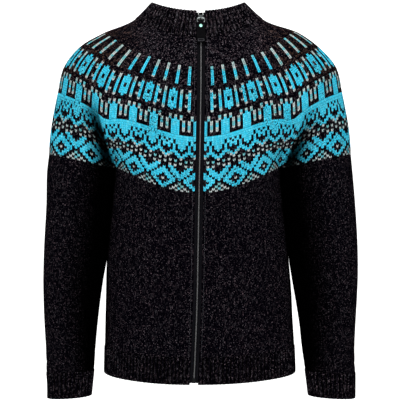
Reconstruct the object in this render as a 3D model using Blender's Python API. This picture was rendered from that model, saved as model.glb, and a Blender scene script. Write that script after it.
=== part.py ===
"""Knitted zip cardigan with a round yoke, in the form it has when worn, with nobody inside.

Frame: metres, +Z up, the front looks along -Y and the wearer's left is +X.
The origin lies between the shoulders, at the foot of the neck, where the wearer carries the garment.
Sizes below are in millimetres. Every wall is a loft through rings worked out from the size tables.
"""

import math

import bmesh
import bpy
import numpy as np
from mathutils import Matrix, Vector

MM = 0.001

# Cloth
WALL = 3.0  # thickness of the knitted cloth
SEAM = 0.4  # space between two pieces that are sewn together
RIB_CREST = 1.0  # how far a rib stands out of the cloth's surface
RIB_GROOVE = 0.5  # how far the groove beside it lies below that surface
HEM_RIB = 50.0  # height of the ribbed hem
CUFF_RIB = 48.0  # height of the ribbed cuffs
HEM_RIBS = (28, 60, 28)  # ribs of the hem: right front, back, left front
CUFF_RIBS = 32
COLLAR_RIBS = 64

# Lines that the pieces are cut to
UNDERARM = 60.0  # front to back length of the seam under each arm
CREASE_Z = -266.0  # height of that seam
YOKE_FRONT_Z = -314.0  # lowest point of the yoke, at the zip
YOKE_BACK_Z = -300.0
YOKE_SLEEVE_RISE = 26.0  # how far the yoke's edge rises over the outside of the arm
HEM_FRONT_Z = -662.0
HEM_SIDE_Z = -650.0
HEM_BACK_Z = -656.0
CUFF_Z = -696.0
CUFF_TILT = 2.5  # the cuff's inner side is this much higher than its middle

# Zip
BARE_ZIP = 15.0  # width of zip left bare between the knitted front edges
TAPE_EDGE = 16.0  # half the width of the two tapes together
TAPE_GAP = 3.2  # from the zip's middle to the inner edge of a tape
TAPE_THICK = 0.8
CHAIN_HALF = 2.8
CHAIN_THICK = 2.8
ZIP_TOP_Z = 19.0
ZIP_FOOT_RISE = 3.0  # the zip ends this far above the hem's edge
RETAINER_LENGTH = 9.0
SLIDER_TOP_Z = 14.5
SLIDER_LENGTH = 10.5
SLIDER_WIDTH = 9.0
SLIDER_FRONT = 0.3  # how far the slider's face stands out of the cloth
SLIDER_PLATE = 3.3
SLIDER_POST = 4.4
SLIDER_BACK = 1.2
BAIL_STRIP = 2.4
BAIL_DROP = 2.4  # the bail stands this far below the slider's middle
BAIL_INSIDE = (1.6, 2.7)  # half length and height of the room inside the bail
BAIL_THICK = 1.0
RING_WIRE = 0.85
RING_SIZE = (13.4, 8.0)
TAB_WIDTH = 16.0
TAB_NECK = 10.8
TAB_LENGTH = 42.0
TAB_THICK = 2.6
TAB_BARREL = (1.15, 1.8)
PULL_OUT = 2.1  # from the cloth's surface to the bar that the pull swings on
PULL_LEAN = 4.0  # degrees between the hanging pull and the cloth at the slider

# Fineness of the lofts
YOKE_FRONT_COLUMNS = 10
YOKE_ARM_COLUMNS = 15
YOKE_BACK_COLUMNS = 10
YOKE_ROWS = 9
COLLAR_ROWS = 3
UNDERARM_COLUMNS = 4
BODY_ROWS = 8
SLEEVE_ROWS = 10


def table(columns, *rows):
    """A size table as one array for each named column."""
    return dict(zip(columns.split(), np.array(rows, float).T))


# Level sections of the body: half widths to the wearer's right and left, depth before and behind.
BODY = table(
    "z right left front back",
    (-690, 182, 181, 119, 112),
    (-642, 181, 180, 119, 111),
    (-593, 180, 178, 120, 109),
    (-545, 179, 175, 121, 107),
    (-500, 178, 173, 121, 106),
    (-452, 177, 169, 122, 107),
    (-400, 173, 164, 123, 109),
    (-334, 167, 157, 124, 113),
    (-266, 161, 152, 123, 117),
    (-220, 158, 150, 121, 119),
)
BODY_SQUARE = 2.45

# Level sections of the sleeves: inner and outer edge from the middle of the garment, middle and half of the depth.
SLEEVE = table(
    "z right_in right_out left_in left_out middle half_depth",
    (-716, 206, 287, 206, 291, -25, 37),
    (-677, 203, 287, 202, 292, -21, 39),
    (-644, 200, 290, 198, 293, -15, 44),
    (-607, 198, 292, 193, 293, -9, 50),
    (-558, 194, 295, 188, 295, -3, 56),
    (-513, 189, 297, 181, 298, 1, 60),
    (-478, 184, 298, 175, 300, 3, 62),
    (-433, 176, 297, 168, 300, 4, 63),
    (-334, 168, 292, 158, 295, 5, 64),
    (-266, 162, 290, 153, 289, 4, 64),
    (-236, 160, 286, 152, 286, 3, 63),
    (-200, 160, 282, 152, 283, 2, 62),
)
SLEEVE_SQUARE = 2.15
ARM_GAP = table("z gap", (-700, 1.5), (-478, 1.3), (-340, 1.0), (-266, 0.8), (-200, 0.8))

# Rings of the collar's top edge, the collar's foot and the yoke, from the neck outwards.
RINGS = table(
    "right left front back front_z side_z back_z droop",
    (91, 84, 72, 62, 23, 48, 38, 1.6),
    (123, 119, 89, 80, -29, 16, -8, 1.9),
    (188, 192, 104, 103, -90, -13, -60, 2.4),
    (228, 225, 113, 112, -132, -37, -112, 2.6),
    (259, 259, 119, 118, -176, -77, -160, 2.8),
    (270, 270, 122, 120, -236, -124, -222, 3.0),
)
TUCK_REACH = 45.0  # how far from the fold of the armpit the yoke begins to turn in
TUCK = 0.9

# Where the middle of the zip runs, seen from the front.
ZIP_LINE = table(
    "z x",
    (-690, -12.6), (-600, -8.6), (-520, -5.6), (-400, -3.2), (-300, -1.4), (-200, 0.6), (-50, 1.9), (60, 1.0),
)

# Broad soft folds: share of the half turn from front to back, height, half sizes, depth.
BODY_FOLDS = table(
    "side share z wide tall depth",
    (-1, 0.25, -560, 0.07, 90, -2.4),
    (1, 0.27, -575, 0.07, 85, -2.6),
    (-1, 0.70, -520, 0.08, 95, -3.2),
    (1, 0.72, -505, 0.08, 95, -3.2),
    (-1, 0.88, -420, 0.06, 110, -2.4),
    (1, 0.86, -590, 0.06, 80, -2.2),
)
# Share of the turn from the inside of the sleeve over its front.
SLEEVE_FOLDS = table(
    "side share z wide tall depth",
    (-1, 0.28, -470, 0.13, 40, -3.0),
    (1, 0.28, -480, 0.13, 40, -3.0),
    (-1, 0.72, -350, 0.10, 50, -3.0),
    (1, 0.72, -365, 0.10, 50, -3.0),
    (-1, 0.62, -600, 0.14, 40, -2.0),
    (1, 0.60, -610, 0.14, 40, -2.0),
)

# Yarn and metal, as plain colours
WOOL = (0.024, 0.023, 0.027)
RIB_WOOL = (0.021, 0.020, 0.024)
YOKE_WOOL = (0.10, 0.34, 0.42)
TAPE_CLOTH = (0.012, 0.012, 0.014)
COIL = (0.020, 0.020, 0.022)
DARK_METAL = (0.10, 0.10, 0.11)
BRIGHT_METAL = (0.55, 0.56, 0.58)
PULL_LEATHER = (0.010, 0.010, 0.011)


def smooth(x, at, values):
    """A smooth curve through the values of a table."""
    order = np.argsort(at)
    at, values = at[order], values[order]
    slopes = np.gradient(values, at)
    x = np.clip(x, at[0], at[-1])
    i = np.clip(np.searchsorted(at, x, side="right") - 1, 0, len(at) - 2)
    step = at[i + 1] - at[i]
    t = (x - at[i]) / step
    return (
        values[i] * (1 + 2 * t) * (1 - t) ** 2
        + values[i + 1] * t * t * (3 - 2 * t)
        + step * (slopes[i] * t * (1 - t) ** 2 - slopes[i + 1] * t * t * (1 - t))
    )


def power(value, exponent):
    return np.sign(value) * np.abs(value) ** exponent


def unit(vector):
    return vector / np.linalg.norm(vector)


def lengths(points):
    steps = np.linalg.norm(np.diff(points, axis=0), axis=1)
    return np.concatenate([[0.0], np.cumsum(steps)])


def along(points, measure, where):
    """The points at which a measure that grows along a line has the given values."""
    return np.stack([np.interp(where, measure, points[:, k]) for k in range(3)], axis=-1)


def zip_x(z):
    return smooth(z, ZIP_LINE["z"], ZIP_LINE["x"])


def fold_depth(folds, side, share, z):
    """How far the soft folds draw the cloth in at a place."""
    depth = 0.0
    for k in range(len(folds["z"])):
        if folds["side"][k] == side:
            across = (share - folds["share"][k]) / folds["wide"][k]
            height = (z - folds["z"][k]) / folds["tall"][k]
            depth += folds["depth"][k] * math.exp(-across * across - height * height)
    return depth


def side_name(side):
    return "right" if side < 0 else "left"


def body_side_x(side, y, z):
    """Distance from the middle to the side of the body, at a depth y."""
    depth = np.where(y < 0, smooth(z, BODY["z"], BODY["front"]), smooth(z, BODY["z"], BODY["back"]))
    inside = np.clip(1 - (np.abs(y) / depth) ** BODY_SQUARE, 0, 1)
    return smooth(z, BODY["z"], BODY[side_name(side)]) * inside ** (1 / BODY_SQUARE)


def start_at_zip(curve, side, clear):
    """Cuts a half ring where it meets the zip, clear millimetres from the zip's middle line."""
    offset = side * (curve[:, 0] - zip_x(curve[:, 2]))
    first = np.argmax(offset > clear)
    share = (clear - offset[first - 1]) / (offset[first] - offset[first - 1])
    start = curve[first - 1] + share * (curve[first] - curve[first - 1])
    return np.vstack([start, curve[first:]])


def body_curve(side, z, clear=BARE_ZIP / 2):
    """Half of the body's level section, from the front edge round the side to the middle of the back."""
    turn = np.linspace(-0.35, math.pi, 260)
    depth = np.where(np.cos(turn) > 0, smooth(z, BODY["z"], BODY["front"]), smooth(z, BODY["z"], BODY["back"]))
    x = side * smooth(z, BODY["z"], BODY[side_name(side)]) * power(np.sin(turn), 2 / BODY_SQUARE)
    y = -depth * power(np.cos(turn), 2 / BODY_SQUARE)
    return start_at_zip(np.stack([x, y, np.full_like(x, z)], axis=1), side, clear)


def body_marks(side, z):
    """The half section, its lengths, and those of front edge, both ends of the underarm and middle of the back."""
    curve = body_curve(side, z)
    far = lengths(curve)
    side_part = np.abs(curve[:, 0]) > 100
    marks = [np.interp(y, curve[side_part, 1], far[side_part]) for y in (-UNDERARM / 2, UNDERARM / 2)]
    return curve, far, np.array([0.0, marks[0], marks[1], far[-1]])


def curve_place(curve, far, where, centre, draw):
    """A point of a level curve, drawn in by a fold, and its outward normal."""
    point, before, after = along(curve, far, np.array([where, where - 1.5, where + 1.5]))
    normal = unit(np.array([after[1] - before[1], before[0] - after[0], 0.0]))
    if np.dot(normal, point - centre) < 0:
        normal = -normal
    return point + normal * draw, normal


def body_place(side, u, z):
    """A point of the body and its normal: u runs 0 to 1 over the front, to 2 under the arm, to 3 over the back."""
    curve, far, marks = body_marks(side, z)
    where = np.interp(u, [0, 1, 2, 3], marks)
    centre = np.array([0.0, 0.0, z])
    return curve_place(curve, far, where, centre, fold_depth(BODY_FOLDS, side, where / far[-1], z))


def sleeve_curve(side, z):
    """The sleeve's level section, from the inside over the front, outside and back."""
    inner, outer = (smooth(z, SLEEVE["z"], SLEEVE[side_name(side) + end]) for end in ("_in", "_out"))
    middle, half_depth = (smooth(z, SLEEVE["z"], SLEEVE[k]) for k in ("middle", "half_depth"))
    turn = np.linspace(0, 2 * math.pi, 361)
    across = (inner + outer) / 2 - (outer - inner) / 2 * power(np.cos(turn), 2 / SLEEVE_SQUARE)
    y = middle - half_depth * power(np.sin(turn), 2 / SLEEVE_SQUARE)
    gap = smooth(z, ARM_GAP["z"], ARM_GAP["gap"])
    across = np.maximum(across, body_side_x(side, y, z) + gap)
    return np.stack([side * across, y, np.full_like(y, z)], axis=1)


def sleeve_place(side, u, z):
    """A point of the sleeve and its normal: u runs 0 to 1 over the outside of the arm and to 2 under it."""
    curve = sleeve_curve(side, z)
    far = lengths(curve)
    quarter = len(curve) // 4
    front = np.interp(UNDERARM / 2, -curve[:quarter, 1], far[:quarter])
    back = np.interp(-UNDERARM / 2, -curve[-quarter:, 1], far[-quarter:])
    where = np.interp(u, [0, 1, 2], [front, back, far[-1] + front]) % far[-1]
    return sleeve_at(side, where / far[-1], z, curve, far)


def sleeve_at(side, share, z, curve=None, far=None):
    """A point of the sleeve at a share of its whole turn, from the inside over the front."""
    if curve is None:
        curve = sleeve_curve(side, z)
        far = lengths(curve)
    loop = np.vstack([curve[-3:-1], curve, curve[1:3]])
    steps = lengths(loop)
    steps = steps - steps[2]
    centre = np.array([curve[:-1, 0].mean(), curve[:-1, 1].mean(), z])
    draw = fold_depth(SLEEVE_FOLDS, side, share, z)
    return curve_place(loop, steps, share * far[-1], centre, draw)


def lower_edge_z(side, part, share):
    """Height of the line where the yoke meets the front, the sleeve or the back (part 0, 1, 2)."""
    if part == 1:
        return CREASE_Z + YOKE_SLEEVE_RISE * math.sin(math.pi * share) ** 1.3
    middle_z = YOKE_FRONT_Z if part == 0 else YOKE_BACK_Z
    reach = share if part == 0 else 1 - share
    return middle_z + (CREASE_Z - middle_z) * reach * reach * (3 - 2 * reach)


def lower_edge(side):
    """The yoke's lower edge on one side with its normals, and the part and share of each of its points."""
    places = [(0, k / YOKE_FRONT_COLUMNS) for k in range(YOKE_FRONT_COLUMNS)]
    places += [(1, k / YOKE_ARM_COLUMNS) for k in range(YOKE_ARM_COLUMNS)]
    places += [(2, k / YOKE_BACK_COLUMNS) for k in range(YOKE_BACK_COLUMNS + 1)]
    points, normals = [], []
    for part, share in places:
        z = lower_edge_z(side, part, share)
        if part == 1:
            point, normal = sleeve_place(side, share, z)
        else:
            point, normal = body_place(side, part + share, z)
        points.append(point)
        normals.append(normal)
    points, normals = np.array(points), np.array(normals)
    for crease in (YOKE_FRONT_COLUMNS, YOKE_FRONT_COLUMNS + YOKE_ARM_COLUMNS):
        normals[crease] = (0.0, -1.0 if crease == YOKE_FRONT_COLUMNS else 1.0, 0.0)
    return points, normals


def ring_line(row, side, shares, clear=BARE_ZIP / 2):
    """Points of one ring at the given shares of its length, from the front edge to the middle of the back."""
    turn = np.linspace(-0.35, math.pi, 260)
    width = RINGS[side_name(side)][row]
    ahead = np.cos(turn) > 0
    depth = np.where(ahead, RINGS["front"][row], RINGS["back"][row])
    end_z = np.where(ahead, RINGS["front_z"][row], RINGS["back_z"][row])
    z = RINGS["side_z"][row] + (end_z - RINGS["side_z"][row]) * np.abs(np.cos(turn)) ** RINGS["droop"][row]
    curve = start_at_zip(np.stack([side * width * np.sin(turn), -depth * np.cos(turn), z], axis=1), side, clear)
    far = lengths(curve)
    return along(curve, far, np.asarray(shares) * far[-1])


def spline(points, last):
    """A fine smooth line through the given points with the given end direction, and the lengths to each of them."""
    steps = np.linalg.norm(np.diff(points, axis=0), axis=1)
    at = np.concatenate([[0.0], np.cumsum(steps)])
    tangents = np.gradient(points, at, axis=0)
    tangents[-1] = last
    line = []
    for k, step in enumerate(steps):
        for t in np.linspace(0, 1, 24, endpoint=False):
            line.append(
                points[k] * (1 + 2 * t) * (1 - t) ** 2
                + points[k + 1] * t * t * (3 - 2 * t)
                + step * (tangents[k] * t * (1 - t) ** 2 - tangents[k + 1] * t * t * (1 - t))
            )
    line = np.array(line + [points[-1]])
    return line, lengths(line)


def meridian(rings, foot, down):
    """One line from the collar's top edge to the yoke's lower edge, as its collar rows and its yoke rows."""
    line, far = spline(np.vstack([rings, foot]), down)
    seam = far[24]
    collar = along(line, far, np.linspace(0, seam - SEAM / 2, COLLAR_ROWS))
    yoke = along(line, far, np.linspace(seam + SEAM / 2, far[-1], YOKE_ROWS))
    return collar, yoke


def upper_lines(side, shares, feet, downs):
    """Collar and yoke grids of one side for the given shares of the rings."""
    rings = [ring_line(row, side, shares) for row in range(len(RINGS["front"]))]
    pairs = [meridian([ring[j] for ring in rings], feet[j], downs[j]) for j in range(len(shares))]
    return np.array([pair[0] for pair in pairs]), np.array([pair[1] for pair in pairs])


def edge_downs(points, normals):
    """The directions in which the yoke's lines arrive at its lower edge."""
    far = lengths(points)
    front, back = far[YOKE_FRONT_COLUMNS], far[YOKE_FRONT_COLUMNS + YOKE_ARM_COLUMNS]
    downs = []
    for j in range(len(points)):
        near = min(abs(far[j] - front), abs(far[j] - back))
        tuck = math.exp(-((near / TUCK_REACH) ** 2))
        turn_in = TUCK * tuck * (1.0 if far[j] < (front + back) / 2 else -1.0)
        down = unit(np.array([0.0, turn_in, -1.0]))
        downs.append(unit(down - np.dot(down, normals[j]) * normals[j] * (1 - tuck)))
    return np.array(downs)


def grid_normals(grid):
    """Unit normals of a grid of points, pointing away from the garment's middle line."""
    normal = np.cross(np.gradient(grid, axis=0), np.gradient(grid, axis=1))
    normal /= np.linalg.norm(normal, axis=2, keepdims=True)
    away = grid - np.array([0.0, 0.0, -200.0])
    if (normal * away).sum() < 0:
        normal = -normal
    return normal


def both_sides(right, left):
    """One grid from the right front edge round the back to the left front edge."""
    return np.concatenate([right, left[::-1][1:]])


def wall(name, outer, inner, material, closed=False):
    """A closed cloth wall between an outer and an inner grid of points, each columns by rows."""
    columns, rows = outer.shape[:2]
    points = np.concatenate([outer.reshape(-1, 3), inner.reshape(-1, 3)]) * MM
    back = columns * rows

    def corner(i, j, layer):
        return layer * back + (i % columns) * rows + j

    faces = []
    last = columns if closed else columns - 1
    for i in range(last):
        for j in range(rows - 1):
            for layer in (0, 1):
                quad = [(i, j), (i + 1, j), (i + 1, j + 1), (i, j + 1)]
                quad = [corner(a, b, layer) for a, b in quad]
                faces.append(quad if layer == 0 else quad[::-1])
        for j, turn in ((0, 1), (rows - 1, -1)):
            rim = [corner(i, j, 0), corner(i, j, 1), corner(i + 1, j, 1), corner(i + 1, j, 0)]
            faces.append(rim[::turn])
    if not closed:
        for i, turn in ((0, -1), (columns - 1, 1)):
            for j in range(rows - 1):
                rim = [corner(i, j, 0), corner(i, j, 1), corner(i, j + 1, 1), corner(i, j + 1, 0)]
                faces.append(rim[::turn])
    return solid_from(name, points, faces, material, 50)


def garment_collection():
    """The collection that holds the garment's pieces."""
    if "zip cardigan" not in bpy.data.collections:
        bpy.context.scene.collection.children.link(bpy.data.collections.new("zip cardigan"))
    return bpy.data.collections["zip cardigan"]


def solid_from(name, points, faces, material, crisp=30):
    """A closed body with its faces turned outwards."""
    mesh = bpy.data.meshes.new(name)
    solid = bpy.data.objects.new(name, mesh)
    garment_collection().objects.link(solid)
    mesh.from_pydata([tuple(p) for p in points], [], faces)
    weld(mesh)
    mesh.materials.append(material)
    mesh.shade_smooth()
    mesh.set_sharp_from_angle(angle=math.radians(crisp))
    return solid


def plain(name, colour, roughness=0.9, metallic=0.0):
    material = bpy.data.materials.new(name)
    material.use_nodes = True
    shader = material.node_tree.nodes["Principled BSDF"]
    shader.inputs["Base Color"].default_value = (*colour, 1.0)
    shader.inputs["Roughness"].default_value = roughness
    shader.inputs["Metallic"].default_value = metallic
    material.diffuse_color = (*colour, 1.0)
    return material


def ribbed(columns):
    """How far each column of a ribbed piece stands out: groove, crest, groove and so on."""
    return np.array([RIB_CREST if k % 2 else -RIB_GROOVE for k in range(columns)])[:, None, None]


def hem_z(share):
    """Height of the hem's edge at a share of the half turn from front to back."""
    end = HEM_FRONT_Z if share < 0.5 else HEM_BACK_Z
    return HEM_SIDE_Z + (end - HEM_SIDE_Z) * abs(math.cos(math.pi * share)) ** 1.5


def body_column(side, u, top_z, rows):
    """Points and normals of one column of a body panel, from its top edge to the ribbed hem."""
    level = HEM_FRONT_Z + HEM_RIB
    for _ in range(3):
        _, far, marks = body_marks(side, level)
        level = hem_z(np.interp(u, [0, 1, 2, 3], marks) / far[-1]) + HEM_RIB
    heights = np.linspace(top_z, level + SEAM, rows)
    return [body_place(side, u, z) for z in heights]


def panel(name, columns, material):
    """A body panel from its columns of points and normals."""
    outer = np.array([[place[0] for place in column] for column in columns])
    inner = outer - WALL * np.array([[place[1] for place in column] for column in columns])
    return wall(name, outer, inner, material)


def body_us(first, last):
    """Places of the columns of a panel, in step with the columns of the yoke."""
    marks = [k / YOKE_FRONT_COLUMNS for k in range(YOKE_FRONT_COLUMNS)]
    marks += [1 + k / UNDERARM_COLUMNS for k in range(UNDERARM_COLUMNS)]
    marks += [2 + k / YOKE_BACK_COLUMNS for k in range(YOKE_BACK_COLUMNS + 1)]
    return [u for u in marks if first - 1e-6 <= u <= last + 1e-6]


def panel_top(side, u):
    if u <= 1:
        return lower_edge_z(side, 0, u) - SEAM
    if u >= 2:
        return lower_edge_z(side, 2, u - 2) - SEAM
    return CREASE_Z - SEAM


def seam_shift(side, u, z):
    """Moves a column that ends at the side seam away from it by half of the seam's space."""
    _, _, marks = body_marks(side, z)
    return (SEAM / 2) / (marks[2] - marks[1])


def make_body(material):
    for side in (-1, 1):
        shift = seam_shift(side, 1.5, -400)
        places = body_us(0, 1.5)
        places[-1] -= shift
        columns = [body_column(side, u, panel_top(side, u), BODY_ROWS) for u in places]
        panel("front_" + side_name(side), columns, material)
    halves = []
    for side in (-1, 1):
        places = body_us(1.5, 3)
        places[0] += seam_shift(side, 1.5, -400)
        halves.append([body_column(side, u, panel_top(side, u), BODY_ROWS) for u in places])
    panel("back", halves[0] + halves[1][::-1][1:], material)


def hem_columns(side, first, last, count):
    """Columns of the ribbed hem between two places, evenly spaced round the body."""
    columns = []
    for k in range(count + 1):
        column = []
        for rise in (HEM_RIB, 0.0):
            level = HEM_SIDE_Z + rise
            for _ in range(3):
                _, far, marks = body_marks(side, level)
                ends = np.interp([first, last], [0, 1, 2, 3], marks)
                where = ends[0] + (ends[1] - ends[0]) * k / count
                level = hem_z(where / far[-1]) + rise
            column.append(body_place(side, np.interp(where, marks, [0, 1, 2, 3]), level))
        columns.append(column)
    return columns


def make_hem(material):
    def band(name, columns):
        outer = np.array([[place[0] for place in column] for column in columns])
        normals = np.array([[place[1] for place in column] for column in columns])
        wall(name, outer + ribbed(len(columns)) * normals, outer - WALL * normals, material)

    shift = seam_shift(1, 1.5, -640)
    band("hem_right", hem_columns(-1, 0, 1.5 - shift, 2 * HEM_RIBS[0]))
    band("hem_left", hem_columns(1, 0, 1.5 - shift, 2 * HEM_RIBS[2]))
    right = hem_columns(-1, 1.5 + shift, 3, HEM_RIBS[1])
    left = hem_columns(1, 1.5 + shift, 3, HEM_RIBS[1])
    band("hem_back", right + left[::-1][1:])


def cuff_z(share):
    """Height of the cuff's edge at a share of the turn from the inside over the front."""
    return CUFF_Z + CUFF_TILT * math.cos(2 * math.pi * share)


def make_sleeve(side, cloth, rib):
    outer, inner = [], []
    over = [k / YOKE_ARM_COLUMNS for k in range(YOKE_ARM_COLUMNS)]
    under = [1 + k / UNDERARM_COLUMNS for k in range(UNDERARM_COLUMNS)]
    for u in over + under:
        top = (lower_edge_z(side, 1, u) if u <= 1 else CREASE_Z) - SEAM
        curve = sleeve_curve(side, CUFF_Z + CUFF_RIB)
        far = lengths(curve)
        foot = sleeve_place(side, u, CUFF_Z + CUFF_RIB)[0]
        nearest = np.argmin(np.linalg.norm(curve[:-1] - foot, axis=1))
        level = cuff_z(far[nearest] / far[-1]) + CUFF_RIB + SEAM
        places = [sleeve_place(side, u, z) for z in np.linspace(top, level, SLEEVE_ROWS)]
        outer.append([place[0] for place in places])
        inner.append([place[0] - WALL * place[1] for place in places])
    wall("sleeve_" + side_name(side), np.array(outer), np.array(inner), cloth, closed=True)

    outer, inner = [], []
    for k in range(2 * CUFF_RIBS):
        share = k / (2 * CUFF_RIBS)
        relief = RIB_CREST if k % 2 else -RIB_GROOVE
        places = [sleeve_at(side, share, cuff_z(share) + rise) for rise in (CUFF_RIB, 0.0)]
        outer.append([point + relief * normal for point, normal in places])
        inner.append([point - WALL * normal for point, normal in places])
    wall("cuff_" + side_name(side), np.array(outer), np.array(inner), rib, closed=True)


def make_yoke_and_collar(yoke_cloth, rib):
    grids = []
    for side in (-1, 1):
        feet, normals = lower_edge(side)
        far = lengths(feet)
        grids.append(upper_lines(side, far / far[-1], feet, edge_downs(feet, normals)))
    outer = both_sides(grids[0][1], grids[1][1])
    normals = grid_normals(outer)
    normals[:, -1, 2] = 0
    normals[:, -1] /= np.linalg.norm(normals[:, -1], axis=1, keepdims=True)
    wall("yoke", outer, outer - WALL * normals, yoke_cloth)

    grids = []
    for side in (-1, 1):
        feet, edge_normals = lower_edge(side)
        downs = edge_downs(feet, edge_normals)
        far = lengths(feet)
        shares = np.linspace(0, 1, COLLAR_RIBS + 1)
        between = [np.interp(shares * far[-1], far, downs[:, k]) for k in range(3)]
        grids.append(upper_lines(side, shares, along(feet, far, shares * far[-1]), np.stack(between, axis=1)))
    outer = both_sides(grids[0][0], grids[1][0])
    normals = grid_normals(outer)
    wall("collar", outer + ribbed(len(outer)) * normals, outer - WALL * normals, rib)


def front_line(clear):
    """The front's surface line at a distance from the zip's middle, with rows in step with those of the cloth."""
    side = 1 if clear >= 0 else -1
    rings = [ring_line(row, side, [0.0], abs(clear))[0] for row in range(len(RINGS["front"]))]
    foot = body_curve(side, YOKE_FRONT_Z, abs(clear))[0]
    collar, yoke = meridian(rings, foot, np.array([0.0, 0.0, -1.0]))
    levels = np.linspace(YOKE_FRONT_Z - SEAM, HEM_FRONT_Z + HEM_RIB + SEAM, BODY_ROWS)
    body = [body_curve(side, z, abs(clear))[0] for z in [*levels, HEM_FRONT_Z + HEM_RIB, HEM_FRONT_Z]]
    return np.vstack([collar, yoke, body])


def cut_line(line, top, foot):
    """The part of a line between two heights."""
    ends = [along(line[::-1], line[::-1, 2], z) for z in (top, foot)]
    inside = line[(line[:, 2] < top - 0.5) & (line[:, 2] > foot + 0.5)]
    return np.vstack([ends[0], inside, ends[1]])


def zip_strip(clears, top, foot):
    """A grid of the front's surface lines at the given distances from the zip's middle, and its normals."""
    grid = np.array([cut_line(front_line(clear), top, foot) for clear in clears])
    return grid, grid_normals(grid)


def zip_frame(z):
    """Point of the front's surface at the zip's middle, with the directions left, down and out there."""
    grid, normals = zip_strip((-4.0, 4.0), ZIP_TOP_Z, -60.0)
    line = grid.mean(axis=0)
    at = along(line[::-1], line[::-1, 2], z)
    ahead, behind = (along(line[::-1], line[::-1, 2], z + d) for d in (-6.0, 6.0))
    down = unit(ahead - behind)
    left = unit(np.array([1.0, 0.0, 0.0]) - down[0] * down)
    out = np.cross(left, down)
    return at, left, down, out if out[1] < 0 else -out


def frame_matrix(origin, across, up):
    """A frame at a point given in millimetres, with its first two unit directions."""
    matrix = Matrix.Identity(4)
    for k, column in enumerate((across, up, np.cross(across, up))):
        matrix.col[k] = (*column, 0.0)
    matrix.col[3] = (*(np.array(origin) * MM), 1.0)
    return matrix


def weld(mesh):
    """Closes a mesh at its doubled points and turns its faces outwards."""
    work = bmesh.new()
    work.from_mesh(mesh)
    bmesh.ops.remove_doubles(work, verts=work.verts, dist=0.00001)
    bmesh.ops.recalc_face_normals(work, faces=work.faces)
    if work.calc_volume(signed=True) < 0:
        bmesh.ops.reverse_faces(work, faces=work.faces)
    work.to_mesh(mesh)
    work.free()


def mesh_of(source, name, material):
    """Turns a curve object into a mesh object with welded caps."""
    graph = bpy.context.evaluated_depsgraph_get()
    mesh = bpy.data.meshes.new_from_object(source.evaluated_get(graph))
    weld(mesh)
    solid = bpy.data.objects.new(name, mesh)
    solid.matrix_world = source.matrix_world
    garment_collection().objects.link(solid)
    mesh.materials.clear()
    mesh.materials.append(material)
    mesh.shade_smooth()
    mesh.set_sharp_from_angle(angle=math.radians(40))
    curve = source.data
    bpy.data.objects.remove(source)
    bpy.data.curves.remove(curve)
    return solid


def line_curve(name, loops, matrix, dimensions):
    """A curve object of closed straight-sided loops, given in millimetres."""
    curve = bpy.data.curves.new(name + " line", "CURVE")
    curve.dimensions = dimensions
    for loop in loops:
        spline_line = curve.splines.new("POLY")
        spline_line.points.add(len(loop) - 1)
        for point, place in zip(spline_line.points, loop):
            point.co = (place[0] * MM, place[1] * MM, 0.0, 1.0)
        spline_line.use_cyclic_u = True
    source = bpy.data.objects.new(name + " line", curve)
    source.matrix_world = matrix
    garment_collection().objects.link(source)
    bpy.context.view_layer.update()
    return source


def flat_piece(name, loops, thickness, matrix, material):
    """A flat outline, with any holes, of an even thickness about its plane."""
    source = line_curve(name, loops, matrix, "2D")
    source.data.fill_mode = "BOTH"
    source.data.extrude = thickness / 2 * MM
    return mesh_of(source, name, material)


def arc(centre, radius, start, end, steps):
    """Points of an arc in a plane, angles in degrees."""
    angles = np.radians(np.linspace(start, end, steps))
    return [(centre[0] + radius * math.cos(a), centre[1] + radius * math.sin(a)) for a in angles]


def join(target, tool):
    """Adds one closed body to another."""
    modifier = target.modifiers.new("join", "BOOLEAN")
    modifier.operation = "UNION"
    modifier.solver = "EXACT"
    modifier.object = tool
    bpy.context.view_layer.update()
    graph = bpy.context.evaluated_depsgraph_get()
    joined = bpy.data.meshes.new_from_object(target.evaluated_get(graph))
    target.modifiers.clear()
    weld(joined)
    old = target.data
    target.data = joined
    bpy.data.meshes.remove(old)
    bpy.data.objects.remove(tool)


def make_tapes(material):
    foot = HEM_FRONT_Z + ZIP_FOOT_RISE
    for side in (-1, 1):
        clears = np.array([TAPE_GAP, (TAPE_GAP + TAPE_EDGE) / 2, TAPE_EDGE]) * side
        grid, normals = zip_strip(clears, ZIP_TOP_Z, foot)
        front = grid - (WALL + SEAM) * normals
        wall("zip_tape_" + side_name(side), front, front - TAPE_THICK * normals, material)


def chain_faces(grid, normals):
    """Front and back of the chain, which lies in the same layer as the tapes."""
    middle = grid - (WALL + SEAM + TAPE_THICK / 2) * normals
    return middle + CHAIN_THICK / 2 * normals, middle - CHAIN_THICK / 2 * normals


def make_chain(material, metal):
    foot = HEM_FRONT_Z + ZIP_FOOT_RISE
    grid, normals = zip_strip((-CHAIN_HALF, CHAIN_HALF), SLIDER_TOP_Z - SLIDER_LENGTH - 0.6, foot + RETAINER_LENGTH)
    wall("zip_chain", *chain_faces(grid, normals), material)
    grid, normals = zip_strip((-CHAIN_HALF, CHAIN_HALF), foot + RETAINER_LENGTH - SEAM, foot)
    front, back = chain_faces(grid, normals)
    wall("zip_retainer", front + 0.8 * normals, back - 0.8 * normals, metal)


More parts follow.
